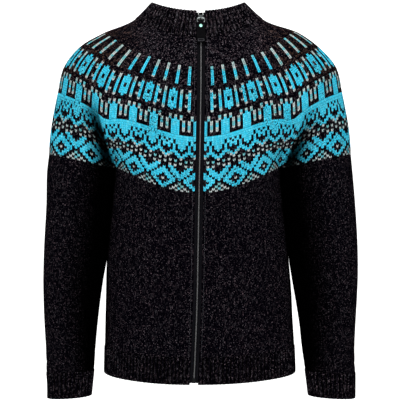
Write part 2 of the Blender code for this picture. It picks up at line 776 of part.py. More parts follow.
def make_slider(material):
    at, left, down, out = zip_frame(SLIDER_TOP_Z - SLIDER_LENGTH / 2)
    half, post = SLIDER_WIDTH / 2, SLIDER_POST / 2
    face, plate = SLIDER_FRONT, SLIDER_FRONT - SLIDER_PLATE
    rear = -(WALL + SEAM + TAPE_THICK + SEAM)
    flange = 0.2  # the plates' edges stand in toward the tapes by this much
    right_part = [(half, face), (half, plate), (post, plate + flange), (post, rear - flange), (half, rear)]
    right_part.append((half, rear - SLIDER_BACK))
    outline = right_part + [(-a, b) for a, b in right_part[::-1]]
    body = flat_piece("zip_slider", [outline], SLIDER_LENGTH, frame_matrix(at, left, out), material)

    reach, height = BAIL_INSIDE
    outer = arc((0, height - reach), reach + BAIL_THICK, 0, 180, 13)
    inner = arc((0, height - reach), reach, 180, 0, 11)
    foot = -0.6
    loop = [(reach + BAIL_THICK, foot), *outer, (-reach - BAIL_THICK, foot), (-reach, foot), *inner, (reach, foot)]
    place = frame_matrix(at + BAIL_DROP * down + face * out, down, out)
    join(body, flat_piece("zip_bail", [loop], BAIL_STRIP, place, material))


def pull_frame():
    """The middle of the bar that the pull swings on, with the pull's directions left, down and out."""
    at, left, down, out = zip_frame(SLIDER_TOP_Z - SLIDER_LENGTH / 2)
    lean = math.radians(PULL_LEAN)
    hang = math.cos(lean) * down + math.sin(lean) * out
    return at + BAIL_DROP * down + PULL_OUT * out, left, hang, math.cos(lean) * out - math.sin(lean) * down


def set_pivot(solid, pivot):
    """Puts the origin of a moving piece on its joint without moving the piece."""
    move = Matrix.Translation(Vector(pivot * MM)).inverted() @ solid.matrix_world
    solid.data.transform(move)
    solid.matrix_world = Matrix.Translation(Vector(pivot * MM))


def make_ring(material):
    at, left, down, out = pull_frame()
    width, height = RING_SIZE
    corner = 1.9
    path = []
    for cx, cy, start in ((1, 1, 0), (-1, 1, 90), (-1, -1, 180), (1, -1, 270)):
        centre = (cx * (width / 2 - corner), height / 2 + cy * (height / 2 - corner))
        path += arc(centre, corner, start, start + 90, 4)
    source = line_curve("zip_ring", [path], frame_matrix(at, left, down), "3D")
    source.data.bevel_depth = RING_WIRE * MM
    source.data.bevel_resolution = 2
    set_pivot(mesh_of(source, "zip_ring", material), at)


def make_tab(material):
    at, left, down, out = pull_frame()
    bar = at + RING_SIZE[1] * down
    half, neck = TAB_WIDTH / 2, TAB_NECK / 2
    lower = [(neck, 1.35), (neck, 3.4), (half - 0.6, 5.0), (half, 6.2)]
    lower += arc((half - 2.4, TAB_LENGTH - 2.4), 2.4, 0, 90, 5)
    outline = lower + [(-a, b) for a, b in lower[::-1]]
    tab = flat_piece("zip_tab", [outline], TAB_THICK, frame_matrix(bar, left, down), material)
    hole, round_out = TAB_BARREL
    loops = [arc((0, 0), radius, 0, 337.5, 16) for radius in (round_out, hole)]
    barrel = flat_piece("tab_barrel", loops, TAB_NECK, frame_matrix(bar, down, out), material)
    join(tab, barrel)
    set_pivot(tab, at)


def main():
    for item in list(bpy.data.objects):
        bpy.data.objects.remove(item)
    wool = plain("charcoal wool", WOOL)
    rib = plain("charcoal rib", RIB_WOOL)
    make_body(wool)
    make_hem(rib)
    for side in (-1, 1):
        make_sleeve(side, wool, rib)
    make_yoke_and_collar(plain("patterned wool", YOKE_WOOL), rib)
    make_tapes(plain("zip tape", TAPE_CLOTH))
    make_chain(plain("zip coil", COIL, 0.5), plain("dark metal", DARK_METAL, 0.4, 1.0))
    make_slider(plain("slider metal", DARK_METAL, 0.35, 1.0))
    make_ring(plain("bright metal", BRIGHT_METAL, 0.3, 1.0))
    make_tab(plain("pull leather", PULL_LEATHER, 0.6))


main()
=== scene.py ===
import functools
import math

import bmesh
import bpy
import mathutils
import numpy as np
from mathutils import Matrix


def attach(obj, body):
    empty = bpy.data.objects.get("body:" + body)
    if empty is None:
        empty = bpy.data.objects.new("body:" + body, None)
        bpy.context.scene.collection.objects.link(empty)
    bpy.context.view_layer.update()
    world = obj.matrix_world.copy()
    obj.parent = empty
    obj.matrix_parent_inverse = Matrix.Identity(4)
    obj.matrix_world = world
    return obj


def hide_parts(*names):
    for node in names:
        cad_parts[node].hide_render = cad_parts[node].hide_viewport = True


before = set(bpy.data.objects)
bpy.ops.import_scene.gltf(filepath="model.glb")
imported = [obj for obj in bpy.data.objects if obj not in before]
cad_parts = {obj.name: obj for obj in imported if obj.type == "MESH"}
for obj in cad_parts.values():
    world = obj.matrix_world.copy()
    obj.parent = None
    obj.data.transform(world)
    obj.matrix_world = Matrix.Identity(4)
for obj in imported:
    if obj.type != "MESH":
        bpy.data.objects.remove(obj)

print("frame loaded")
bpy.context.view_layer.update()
mm = 0.001

# sizes of the worn form in millimetres: level sections of body and sleeves, rings of collar and yoke


def sizeTable(columns, *rows):
    return dict(zip(columns.split(), np.array(rows, float).T))


bodySections = sizeTable(
    "z right left front back",
    (-690, 182, 181, 119, 112),
    (-642, 181, 180, 119, 111),
    (-593, 180, 178, 120, 109),
    (-545, 179, 175, 121, 107),
    (-500, 178, 173, 121, 106),
    (-452, 177, 169, 122, 107),
    (-400, 173, 164, 123, 109),
    (-334, 167, 157, 124, 113),
    (-266, 161, 152, 123, 117),
    (-220, 158, 150, 121, 119),
)
sleeveSections = sizeTable(
    "z rightIn rightOut leftIn leftOut middle halfDepth",
    (-716, 206, 287, 206, 291, -25, 37),
    (-677, 203, 287, 202, 292, -21, 39),
    (-644, 200, 290, 198, 293, -15, 44),
    (-607, 198, 292, 193, 293, -9, 50),
    (-558, 194, 295, 188, 295, -3, 56),
    (-513, 189, 297, 181, 298, 1, 60),
    (-478, 184, 298, 175, 300, 3, 62),
    (-433, 176, 297, 168, 300, 4, 63),
    (-334, 168, 292, 158, 295, 5, 64),
    (-266, 162, 290, 153, 289, 4, 64),
    (-236, 160, 286, 152, 286, 3, 63),
    (-200, 160, 282, 152, 283, 2, 62),
)
ringSizes = sizeTable(
    "right left front back frontZ sideZ backZ droop",
    (91, 84, 72, 62, 23, 48, 38, 1.6),
    (123, 119, 89, 80, -29, 16, -8, 1.9),
    (188, 192, 104, 103, -90, -13, -60, 2.4),
    (228, 225, 113, 112, -132, -37, -112, 2.6),
    (259, 259, 119, 118, -176, -77, -160, 2.8),
    (270, 270, 122, 120, -236, -124, -222, 3.0),
)
armGaps = sizeTable("z gap", (-700, 1.5), (-478, 1.3), (-340, 1.0), (-266, 0.8), (-200, 0.8))
zipLine = sizeTable(
    "z x",
    (-690, -12.6),
    (-600, -8.6),
    (-520, -5.6),
    (-400, -3.2),
    (-300, -1.4),
    (-200, 0.6),
    (-50, 1.9),
    (60, 1.0),
)
form = {
    "bareZip": 15.0,
    "underarm": 60.0,
    "creaseZ": -266.0,
    "yokeFrontZ": -314.0,
    "yokeBackZ": -300.0,
    "yokeSleeveRise": 26.0,
    "yokeSleevePower": 1.3,
    "bodySquare": 2.45,
    "sleeveSquare": 2.15,
    "hemRib": 50.0,
    "hemFrontZ": -662.0,
    "hemSideZ": -650.0,
    "hemBackZ": -656.0,
    "hemPower": 1.5,
    "cuffRib": 48.0,
    "cuffZ": -696.0,
    "cuffTilt": 2.5,
    "tuckReach": 45.0,
    "tuck": 0.9,
    "knitThick": 2.6,
    "stitchWide": 5.1,
    "rowTall": 4.15,
}
broadFolds = {
    "body": sizeTable(
        "side share z wide tall depth",
        (-1, 0.25, -560, 0.07, 90, -2.4),
        (1, 0.27, -575, 0.07, 85, -2.6),
        (-1, 0.70, -520, 0.08, 95, -3.2),
        (1, 0.72, -505, 0.08, 95, -3.2),
        (-1, 0.88, -420, 0.06, 110, -2.4),
        (1, 0.86, -590, 0.06, 80, -2.2),
    ),
    "sleeve": sizeTable(
        "side share z wide tall depth",
        (-1, 0.28, -470, 0.13, 40, -3.0),
        (1, 0.28, -480, 0.13, 40, -3.0),
        (-1, 0.72, -350, 0.10, 50, -3.0),
        (1, 0.72, -365, 0.10, 50, -3.0),
        (-1, 0.62, -600, 0.14, 40, -2.0),
        (1, 0.60, -610, 0.14, 40, -2.0),
    ),
}


def ease(t):
    return t * t * (3 - 2 * t)


def cubic(t, step, start, end, startSlope, endSlope):
    return (
        start * (1 + 2 * t) * (1 - t) ** 2
        + end * t * t * (3 - 2 * t)
        + step * (startSlope * t * (1 - t) ** 2 - endSlope * t * t * (1 - t))
    )


def smoothed(table, name):
    # one column of a table as a smooth curve, kept as closely spaced heights and values
    order = np.argsort(table["z"])
    at, values = table["z"][order], table[name][order]
    slopes = np.gradient(values, at)
    x = np.arange(at[0], at[-1] + 0.25, 0.5)
    i = np.clip(np.searchsorted(at, x, side="right") - 1, 0, len(at) - 2)
    step = at[i + 1] - at[i]
    t = np.clip((x - at[i]) / step, 0, 1)
    return x, cubic(t, step, values[i], values[i + 1], slopes[i], slopes[i + 1])


curves = {
    (id(table), name): smoothed(table, name)
    for table in (bodySections, sleeveSections, armGaps, zipLine)
    for name in table
    if name != "z"
}


def smooth(z, table, name):
    return np.interp(z, *curves[id(table), name])


def power(value, exponent):
    return np.sign(value) * np.abs(value) ** exponent


def unit(vector):
    return vector / np.linalg.norm(vector)


def lengthsOf(points):
    return np.concatenate([[0.0], np.cumsum(np.linalg.norm(np.diff(points, axis=0), axis=1))])


def along(points, measure, where):
    return np.stack([np.interp(where, measure, points[:, k]) for k in range(3)], axis=-1)


def sideName(side):
    return "right" if side < 0 else "left"


def pieceName(start, side, end):
    return start + sideName(side).title() + end


def zipX(z):
    return smooth(z, zipLine, "x")


def foldDepth(folds, side, share, z):
    depth = 0.0
    for k in range(len(folds["z"])):
        if folds["side"][k] == side:
            across = (share - folds["share"][k]) / folds["wide"][k]
            height = (z - folds["z"][k]) / folds["tall"][k]
            depth += folds["depth"][k] * math.exp(-across * across - height * height)
    return depth


def bodySideX(side, y, z):
    depth = np.where(y < 0, smooth(z, bodySections, "front"), smooth(z, bodySections, "back"))
    inside = np.clip(1 - (np.abs(y) / depth) ** form["bodySquare"], 0, 1)
    return smooth(z, bodySections, sideName(side)) * inside ** (1 / form["bodySquare"])


def startAtZip(curve, side, clear):
    offset = side * (curve[:, 0] - zipX(curve[:, 2]))
    first = np.argmax(offset > clear)
    share = (clear - offset[first - 1]) / (offset[first] - offset[first - 1])
    return np.vstack([curve[first - 1] + share * (curve[first] - curve[first - 1]), curve[first:]])


splineSteps = 24  # from one ring to the next
halfTurn = np.linspace(-0.35, math.pi, 260)
wholeTurn = np.linspace(0, 2 * math.pi, 361)


def bodyCurve(side, z, clear):
    ahead = np.cos(halfTurn) > 0
    depth = np.where(ahead, smooth(z, bodySections, "front"), smooth(z, bodySections, "back"))
    x = side * smooth(z, bodySections, sideName(side)) * power(np.sin(halfTurn), 2 / form["bodySquare"])
    y = -depth * power(np.cos(halfTurn), 2 / form["bodySquare"])
    return startAtZip(np.stack([x, y, np.full_like(x, z)], axis=1), side, clear)


@functools.lru_cache(maxsize=None)
def bodyLevel(side, level):
    curve = bodyCurve(side, level, form["bareZip"] / 2)
    far = lengthsOf(curve)
    sidePart = np.abs(curve[:, 0]) > 100
    half = form["underarm"] / 2
    marks = [np.interp(y, curve[sidePart, 1], far[sidePart]) for y in (-half, half)]
    return curve, far, np.array([0.0, marks[0], marks[1], far[-1]])


def bodyMarks(side, z):
    return bodyLevel(side, round(float(z), 1))


def curvePlace(curve, far, where, centre, draw):
    point, before, after = along(curve, far, np.array([where, where - 1.5, where + 1.5]))
    normal = unit(np.array([after[1] - before[1], before[0] - after[0], 0.0]))
    if np.dot(normal, point - centre) < 0:
        normal = -normal
    point[2] = centre[2]
    return point + normal * draw, normal


def bodyPlace(side, u, z):
    curve, far, marks = bodyMarks(side, z)
    where = np.interp(u, [0, 1, 2, 3], marks)
    draw = foldDepth(broadFolds["body"], side, where / far[-1], z)
    return curvePlace(curve, far, where, np.array([0, 0, z]), draw)


@functools.lru_cache(maxsize=None)
def sleeveLevel(side, z):
    inner, outer = (smooth(z, sleeveSections, sideName(side) + end) for end in ("In", "Out"))
    middle, halfDepth = (smooth(z, sleeveSections, k) for k in ("middle", "halfDepth"))
    across = (inner + outer) / 2 - (outer - inner) / 2 * power(np.cos(wholeTurn), 2 / form["sleeveSquare"])
    y = middle - halfDepth * power(np.sin(wholeTurn), 2 / form["sleeveSquare"])
    across = np.maximum(across, bodySideX(side, y, z) + smooth(z, armGaps, "gap"))
    curve = np.stack([side * across, y, np.full_like(y, z)], axis=1)
    far = lengthsOf(curve)
    quarter = len(curve) // 4
    half = form["underarm"] / 2
    front = np.interp(half, -curve[:quarter, 1], far[:quarter])
    back = np.interp(-half, -curve[-quarter:, 1], far[-quarter:])
    loop = np.vstack([curve[-3:-1], curve, curve[1:3]])
    steps = lengthsOf(loop)
    middle = curve[:-1].mean(axis=0)
    return loop, steps - steps[2], middle, far[-1], front, back


def sleeveAt(side, share, z):
    loop, steps, middle, around, _, _ = sleeveLevel(side, round(float(z), 1))
    centre = np.array([middle[0], middle[1], z])
    return curvePlace(loop, steps, share * around, centre, foldDepth(broadFolds["sleeve"], side, share, z))


def sleeveShare(side, u, z):
    _, _, _, around, front, back = sleeveLevel(side, round(float(z), 1))
    return (np.interp(u, [0, 1, 2], [front, back, around + front]) % around) / around


def sleevePlace(side, u, z):
    return sleeveAt(side, sleeveShare(side, u, z), z)


def lowerEdgeZ(part, share):
    if part == 1:
        rise = max(0.0, math.sin(math.pi * share)) ** form["yokeSleevePower"]
        return form["creaseZ"] + form["yokeSleeveRise"] * rise
    middleZ = form["yokeFrontZ"] if part == 0 else form["yokeBackZ"]
    reach = share if part == 0 else 1 - share
    return middleZ + (form["creaseZ"] - middleZ) * ease(reach)


def hemZ(share):
    end = form["hemFrontZ"] if share < 0.5 else form["hemBackZ"]
    return form["hemSideZ"] + (end - form["hemSideZ"]) * abs(math.cos(math.pi * share)) ** form["hemPower"]


def cuffZ(share):
    return form["cuffZ"] + form["cuffTilt"] * math.cos(2 * math.pi * share)


def ringLine(row, side, shares, clear):
    width = ringSizes[sideName(side)][row]
    ahead = np.cos(halfTurn) > 0
    depth = np.where(ahead, ringSizes["front"][row], ringSizes["back"][row])
    endZ = np.where(ahead, ringSizes["frontZ"][row], ringSizes["backZ"][row])
    sideZ = ringSizes["sideZ"][row]
    z = sideZ + (endZ - sideZ) * np.abs(np.cos(halfTurn)) ** ringSizes["droop"][row]
    curve = np.stack([side * width * np.sin(halfTurn), -depth * np.cos(halfTurn), z], axis=1)
    curve = startAtZip(curve, side, clear)
    far = lengthsOf(curve)
    return along(curve, far, np.asarray(shares) * far[-1])


def splineLine(points, last):
    at = lengthsOf(points)
    tangents = np.gradient(points, at, axis=0)
    tangents[-1] = last
    t = np.linspace(0, 1, splineSteps, endpoint=False)[:, None]
    line = []
    for k, step in enumerate(np.diff(at)):
        line.append(cubic(t, step, points[k], points[k + 1], tangents[k], tangents[k + 1]))
    line = np.vstack(line + [points[-1:]])
    return line, lengthsOf(line)


# the yoke's lower edge on one side, with the directions in which its lines arrive there
def yokeFoot(side, fine=60):
    places = [(0, k / fine) for k in range(fine)] + [(1, k / fine) for k in range(fine)]
    places += [(2, k / fine) for k in range(fine + 1)]
    points, normals = [], []
    for part, share in places:
        z = lowerEdgeZ(part, share)
        point, normal = sleevePlace(side, share, z) if part == 1 else bodyPlace(side, part + share, z)
        points.append(point)
        normals.append(normal)
    points, normals = np.array(points), np.array(normals)
    far = lengthsOf(points)
    front, back = far[fine], far[2 * fine]
    downs = []
    for j in range(len(points)):
        near = min(abs(far[j] - front), abs(far[j] - back))
        tuck = math.exp(-((near / form["tuckReach"]) ** 2))
        turnIn = form["tuck"] * tuck * (1.0 if far[j] < (front + back) / 2 else -1.0)
        down = unit(np.array([0.0, turnIn, -1.0]))
        downs.append(unit(down - np.dot(down, normals[j]) * normals[j] * (1 - tuck)))
    return points, far, np.array(downs), (front / far[-1], back / far[-1])


feet = {side: yokeFoot(side) for side in (-1, 1)}
ringCount = len(ringSizes["front"])


def meridians(side, shares):
    # lines down the cloth; the collar takes up their first span, down to the second ring
    points, far, downs, _ = feet[side]
    at = np.asarray(shares) * far[-1]
    foot, down = along(points, far, at), along(downs, far, at)
    rings = [ringLine(row, side, shares, form["bareZip"] / 2) for row in range(ringCount)]
    lines = []
    for j in range(len(shares)):
        lines.append(splineLine(np.vstack([[ring[j] for ring in rings], foot[j]]), unit(down[j])))
    return lines


def yokeGrid(side, shares, rows):
    # rows are shares of the yoke's height, 0 at the collar's foot
    grid = []
    for line, far in meridians(side, shares):
        seam = far[splineSteps]
        grid.append(along(line, far, seam + np.asarray(rows) * (far[-1] - seam)))
    return np.array(grid)


def collarGrid(side, shares, rows):
    lines = meridians(side, shares)
    return np.array([along(line, far, np.asarray(rows) * far[splineSteps]) for line, far in lines])


def gridNormals(grid):
    normal = np.cross(np.gradient(grid, axis=0), np.gradient(grid, axis=1))
    normal /= np.linalg.norm(normal, axis=2, keepdims=True)
    if (normal * (grid - np.array([0.0, 0.0, -200.0]))).sum() < 0:
        normal = -normal
    return normal


def bothSides(right, left):
    return np.concatenate([right, left[::-1][1:]])


# meshes


def addObject(name, data):
    piece = bpy.data.objects.new(name, data)
    bpy.context.scene.collection.objects.link(piece)
    return piece


def fillMesh(mesh, work, turnOut=True):
    if turnOut:
        bmesh.ops.recalc_face_normals(work, faces=work.faces)
    work.to_mesh(mesh)
    work.free()


def meshObject(name, points, faces, uvs=None, yarn=None, foldPaintedShade=None):
    mesh = bpy.data.meshes.new(name)
    piece = addObject(name, mesh)
    mesh.from_pydata([tuple(p) for p in np.asarray(points) * mm], [], faces)
    if uvs is not None:
        layer = mesh.uv_layers.new(name="stitch")
        corners = np.array([index for face in faces for index in face])
        layer.data.foreach_set("uv", np.asarray(uvs, float)[corners].ravel())
    if yarn is not None:
        mesh.attributes.new("yarn", "FLOAT", "FACE").data.foreach_set("value", np.asarray(yarn, float))
    # the fold attribute holds painted shade, which darkens the wool's colour in folds and grooves
    if foldPaintedShade is not None:
        mesh.attributes.new("foldPaintedShade", "FLOAT", "POINT").data.foreach_set("value", np.asarray(foldPaintedShade, float))
    mesh.shade_smooth()
    mesh.validate()
    return piece


def gridFaces(columns, rows):
    corners = [i * rows + j for i in range(columns - 1) for j in range(rows - 1)]
    return [[k, k + 1, k + rows + 1, k + rows] for k in corners]


def turnedOut(faces, points, normals):
    # all faces of a grid turn the same way, so one look at the middle one is enough
    face = faces[len(faces) // 2]
    a, b, c = (points[k] for k in face[:3])
    if np.dot(np.cross(b - a, c - a), normals[face[0]]) < 0:
        return [f[::-1] for f in faces]
    return faces


def knitMesh(name, rows, points, normals, uvs, folds):
    # columns of points from top to foot as one sheet that faces out; folds holds its painted shade
    points = np.array(points)
    faces = turnedOut(gridFaces(len(points) // rows, rows), points, normals)
    return meshObject(name, points, faces, uvs, foldPaintedShade=folds)


def thicken(piece, thickness):
    solidify = piece.modifiers.new("thickness", "SOLIDIFY")
    solidify.thickness = thickness * mm
    solidify.offset = -1.0
    solidify.use_even_offset = False
    return piece


# shader maths


class Wire:
    def __init__(self, paint, socket):
        self.paint, self.socket = paint, socket

    def math(self, operation, *others):
        return self.paint.make("ShaderNodeMath", {"operation": operation}, [self, *others])

    def __add__(self, other):
        return self.math("ADD", other)

    def __sub__(self, other):
        return self.math("SUBTRACT", other)

    def __mul__(self, other):
        return self.math("MULTIPLY", other)

    def __pow__(self, other):
        return self.math("POWER", other)

    def __rsub__(self, other):
        return self.paint.make("ShaderNodeMath", {"operation": "SUBTRACT"}, [other, self])

    __radd__ = __add__
    __rmul__ = __mul__

    def part(self):
        return self.math("FRACT")

    def whole(self):
        return self.math("FLOOR")

    def size(self):
        return self.math("ABSOLUTE")

    def hump(self):
        # 0 at the ends of a unit step and 1 in its middle
        return self * (1.0 - self) * 4.0

    def step(self, low, high):
        settings = {"interpolation_type": "SMOOTHSTEP"}
        return self.paint.make("ShaderNodeMapRange", settings, [self, low, high, 0.0, 1.0])


class Paint:
    def __init__(self, name, roughness=0.9, metallic=0.0, constants=None):
        self.material = bpy.data.materials.new(name)
        self.material.use_nodes = True
        self.tree = self.material.node_tree
        self.shader = self.tree.nodes["Principled BSDF"]
        self.shader.inputs["Roughness"].default_value = roughness
        self.shader.inputs["Metallic"].default_value = metallic
        for socket, value in (constants or {}).items():
            self.shader.inputs[socket].default_value = value

    def make(self, kind, settings, values, output=0):
        node = self.tree.nodes.new(kind)
        for key, value in settings.items():
            setattr(node, key, value)
        pairs = values.items() if isinstance(values, dict) else enumerate(values)
        for key, value in pairs:
            if isinstance(value, Wire):
                self.tree.links.new(value.socket, node.inputs[key])
            elif value is not None:
                node.inputs[key].default_value = value
        return Wire(self, node.outputs[output])

    def blend(self, amount, first, second):
        colours = [(*c, 1.0) if isinstance(c, tuple) and len(c) == 3 else c for c in (first, second)]
        return self.make("ShaderNodeMix", {"data_type": "RGBA"}, {0: amount, 6: colours[0], 7: colours[1]}, 2)

    def tint(self, colour, amount):
        # a colour made lighter or darker by a number that varies
        grey = self.make("ShaderNodeCombineColor", {}, [amount, amount, amount])
        settings = {"data_type": "RGBA", "blend_type": "MULTIPLY"}
        return self.make("ShaderNodeMix", settings, {0: 1.0, 6: colour, 7: grey}, 2)

    def attribute(self, name):
        return self.make("ShaderNodeAttribute", {"attribute_name": name}, {}, 2)

    def split(self, vector):
        node = self.tree.nodes.new("ShaderNodeSeparateXYZ")
        self.tree.links.new(vector.socket, node.inputs[0])
        return [Wire(self, output) for output in node.outputs]

    def place(self):
        return self.make("ShaderNodeTexCoord", {}, {}, 3)

    def noise(self, vector, scale, detail=2.0, rough=0.5):
        values = {"Vector": vector, "Scale": scale, "Detail": detail, "Roughness": rough}
        return self.make("ShaderNodeTexNoise", {}, values)

    def chance(self, x, y, z=0.0):
        vector = self.make("ShaderNodeCombineXYZ", {}, [x, y, z])
        return self.make("ShaderNodeTexWhiteNoise", {"noise_dimensions": "3D"}, {"Vector": vector})

    def colour(self, wire):
        self.tree.links.new(wire.socket, self.shader.inputs["Base Color"])

    def roughness(self, wire):
        self.tree.links.new(wire.socket, self.shader.inputs["Roughness"])

    def relief(self, height, strength, distance):
        bump = self.make("ShaderNodeBump", {}, {"Strength": strength, "Distance": distance, "Height": height})
        self.tree.links.new(bump.socket, self.shader.inputs["Normal"])


woolLook = {
    "dark": (0.0006, 0.0004, 0.0013),
    "grey": (0.170, 0.158, 0.180),
    "mauve": (0.130, 0.090, 0.106),
    "sheenBrown": (0.180, 0.096, 0.064),
    "turquoise": (0.030, 0.50, 0.72),
    "paleTurquoise": (0.14, 0.70, 0.86),
    "white": (0.66, 0.70, 0.70),
    "mint": (0.26, 0.62, 0.60),
    "fibreScale": 900.0,
    "cloudScale": 14.0,
    "fleckScale": 560.0,
    "fleckEdge": (0.61, 0.74),
    "topLightHeights": (-0.28, -0.02),  # painted light: flecks are made paler toward the neck, as if lit from above, between these heights in metres
    "topLightLift": 1.3,
    "sheenOut": (0.09, 0.17),  # painted sheen: brown flecks over the shoulders stand in for a brownish sheen, this far to the side
    "sheenHeights": (-0.12, -0.02),
    "gapPatchScale": 11.0,  # patches where painted shade darkens specks of the bright yarn, as in gaps between stitches
    "gapShadeScale": 470.0,
    "reliefStrength": 0.9,
    "reliefDepth": 0.0012,
    "paintedFoldShade": 0.985,
    "sheen": 0.0006,
}


def woolPaint(name, patterned=False, lift=1.0):
    constants = {
        "Sheen Weight": woolLook["sheen"],
        "Sheen Roughness": 0.6,
        "Sheen Tint": (0.75, 0.68, 0.66, 1.0),
        "Specular IOR Level": 0.0,
    }
    paint = Paint(name, 0.92, 0.0, constants)
    uv = paint.make("ShaderNodeUVMap", {"uv_map": "stitch"}, {})
    u, v, _ = paint.split(uv)
    slant = 0.5 - (u.part() - 0.5).size()
    row = v - slant
    leg = (u * 2.0).part()
    across = leg.hump() ** 0.6
    lengthwise = row.part().hump() ** 0.45
    stitch = across * (0.3 + lengthwise * 0.7)
    legIndex, rowIndex = (u * 2.0).whole(), row.whole()
    first = paint.chance(legIndex, rowIndex)
    second = paint.chance(legIndex, rowIndex, 7.0)
    fibre = paint.noise(paint.place(), woolLook["fibreScale"], 2.0, 0.6)
    cloud = paint.noise(paint.place(), woolLook["cloudScale"], 2.0, 0.5)
    speck = paint.noise(paint.place(), woolLook["fleckScale"], 1.0, 0.5).step(*woolLook["fleckEdge"])
    x, _, z = paint.split(paint.place())
    # painted light: flecks are made paler toward the neck, as if lit from above
    paintedTopLight = 1.0 + z.step(*woolLook["topLightHeights"]) * woolLook["topLightLift"]
    fleckShade = (first**8.0 * 0.10 + speck * (0.10 + 0.90 * second)) * lift * paintedTopLight
    # painted sheen: brown flecks over the shoulders stand in for a brownish sheen
    paintedShoulderSheen = x.size().step(*woolLook["sheenOut"]) * (z + x.size() * 0.25).step(*woolLook["sheenHeights"])
    fleck = paint.blend(second, woolLook["grey"], woolLook["mauve"])
    fleck = paint.blend(paintedShoulderSheen * first, fleck, woolLook["sheenBrown"])
    # painted shade: flecks and bright yarn are darker at the edges of each stitch; the fibre noise adds
    # random tone
    dark = paint.blend(fleckShade * (0.35 + 0.65 * stitch), (*woolLook["dark"], 1.0), fleck)
    shade = (0.12 + 0.88 * stitch) * (0.35 + 1.3 * fibre)
    if patterned:
        yarn = paint.attribute("yarn")
        isTurquoise, isWhite, isMint = ((yarn - code).size().step(0.6, 0.4) for code in (1.0, 2.0, 3.0))
        turquoise = paint.blend(first**2.0 * 0.7, woolLook["turquoise"], woolLook["paleTurquoise"])
        mint = paint.blend(first, woolLook["mint"], woolLook["paleTurquoise"])
        white = paint.blend(first * 0.5, woolLook["white"], woolLook["mint"])
        bright = paint.blend(isMint, paint.blend(isWhite, turquoise, white), mint)
        # painted shade: dark specks in patches of the bright yarn, as in the gaps between stitches
        gapShadePatch = paint.noise(paint.place(), woolLook["gapPatchScale"], 1.0, 0.5).step(0.40, 0.56)
        gapShade = paint.noise(paint.place(), woolLook["gapShadeScale"], 1.0, 0.5).step(0.50, 0.40) * gapShadePatch
        dimness = 0.9 + 0.2 * second - (isWhite + isMint) * (0.15 + 0.35 * second)
        bright = paint.tint(bright, shade * dimness * (1.0 - 0.9 * gapShade * first.step(0.1, 0.5)))
        dark = paint.blend((isTurquoise + isWhite + isMint).step(0.2, 0.8), dark, bright)
    # painted shade: the fold attribute darkens the wool in folds, under the arms and in rib grooves
    paint.colour(paint.tint(dark, 1.0 - paint.attribute("foldPaintedShade") * woolLook["paintedFoldShade"]))
    paint.roughness(0.86 + fibre * 0.12)
    height = stitch + fibre * 0.25 + cloud * 0.3
    paint.relief(height, woolLook["reliefStrength"], woolLook["reliefDepth"])
    return paint.material


def clothPaint(name, colour, scale):
    paint = Paint(name, 0.8, 0.0, {"Specular IOR Level": 0.04})
    x, _, z = paint.split(paint.place())
    weft = (z * scale).part().hump()
    twill = (x * scale * 0.5 + z * scale * 0.5).part().hump()
    fibre = paint.noise(paint.place(), 1800.0)
    paint.colour(paint.tint((*colour, 1.0), 0.5 + 0.7 * twill + 0.4 * fibre))
    paint.roughness(0.7 + fibre * 0.2)
    paint.relief(weft * 0.5 + twill, 0.5, 0.0003)
    return paint.material


def metalPaint(name, colour, roughness):
    paint = Paint(name, roughness, 1.0)
    cloud = paint.noise(paint.place(), 260.0, 3.0, 0.6)
    grain = paint.noise(paint.place(), 2600.0, 2.0, 0.6)
    paint.colour(paint.tint((*colour, 1.0), 0.75 + 0.45 * cloud))
    paint.roughness(roughness - 0.06 + 0.2 * cloud)
    paint.relief(grain, 0.15, 0.0001)
    return paint.material


def grainPaint(name, colour):
    paint = Paint(name, 0.55, 0.0, {"Specular IOR Level": 0.015})
    values = {"Vector": paint.place(), "Scale": 1400.0}
    cell = paint.make("ShaderNodeTexVoronoi", {"feature": "DISTANCE_TO_EDGE"}, values)
    cloud = paint.noise(paint.place(), 300.0, 3.0, 0.6)
    paint.colour(paint.tint((*colour, 1.0), 0.7 + 0.6 * cloud))
    paint.roughness(0.45 + 0.25 * cloud)
    paint.relief(cell.step(0.0, 0.2) + cloud * 0.4, 0.35, 0.0002)
    return paint.material


def coilPaint(name, colour, highlightColour):
    # the crossed tips of the coils carry a painted highlight, lighter than their outer turns
    paint = Paint(name, 0.35, 0.0, {"Specular IOR Level": 0.06})
    cloud = paint.noise(paint.place(), 900.0, 2.0, 0.6)
    paint.colour(paint.tint(paint.blend(paint.attribute("tipHighlight"), colour, highlightColour), 0.6 + 0.8 * cloud))
    paint.roughness(0.28 + 0.25 * cloud)
    paint.relief(cloud, 0.2, 0.0001)
    return paint.material


plainWool = woolPaint("charcoal wool")
ribWool = woolPaint("charcoal rib wool", lift=1.7)
yokeWool = woolPaint("patterned wool", patterned=True)
tapeCloth = clothPaint("zip tape cloth", (0.0020, 0.0018, 0.0028), 1500.0)
# the second colour is a painted highlight on the coils' tips
coilNylon = coilPaint("zip coil nylon", (0.0022, 0.0022, 0.0030), (0.20, 0.20, 0.205))
threadCotton = clothPaint("sewing thread", (0.045, 0.044, 0.050), 3000.0)
darkMetal = metalPaint("dark plated metal", (0.020, 0.022, 0.022), 0.34)
brightMetal = metalPaint("bright steel wire", (0.26, 0.28, 0.28), 0.3)
stopMetal = metalPaint("zip stop metal", (0.62, 0.66, 0.64), 0.4)
footPlastic = grainPaint("black foot plastic", (0.006, 0.0065, 0.007))
rivetMetal = metalPaint("pale rivet", (0.22, 0.44, 0.36), 0.4)
tabLeather = grainPaint("pull leather", (0.0008, 0.0007, 0.0011))
print("materials made")


def finishPiece(piece, material, body, slotName, *nodes):
    piece.data.materials.clear()
    piece.data.materials.append(material)
    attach(piece, body)
    if nodes:
        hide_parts(*nodes)
    return piece


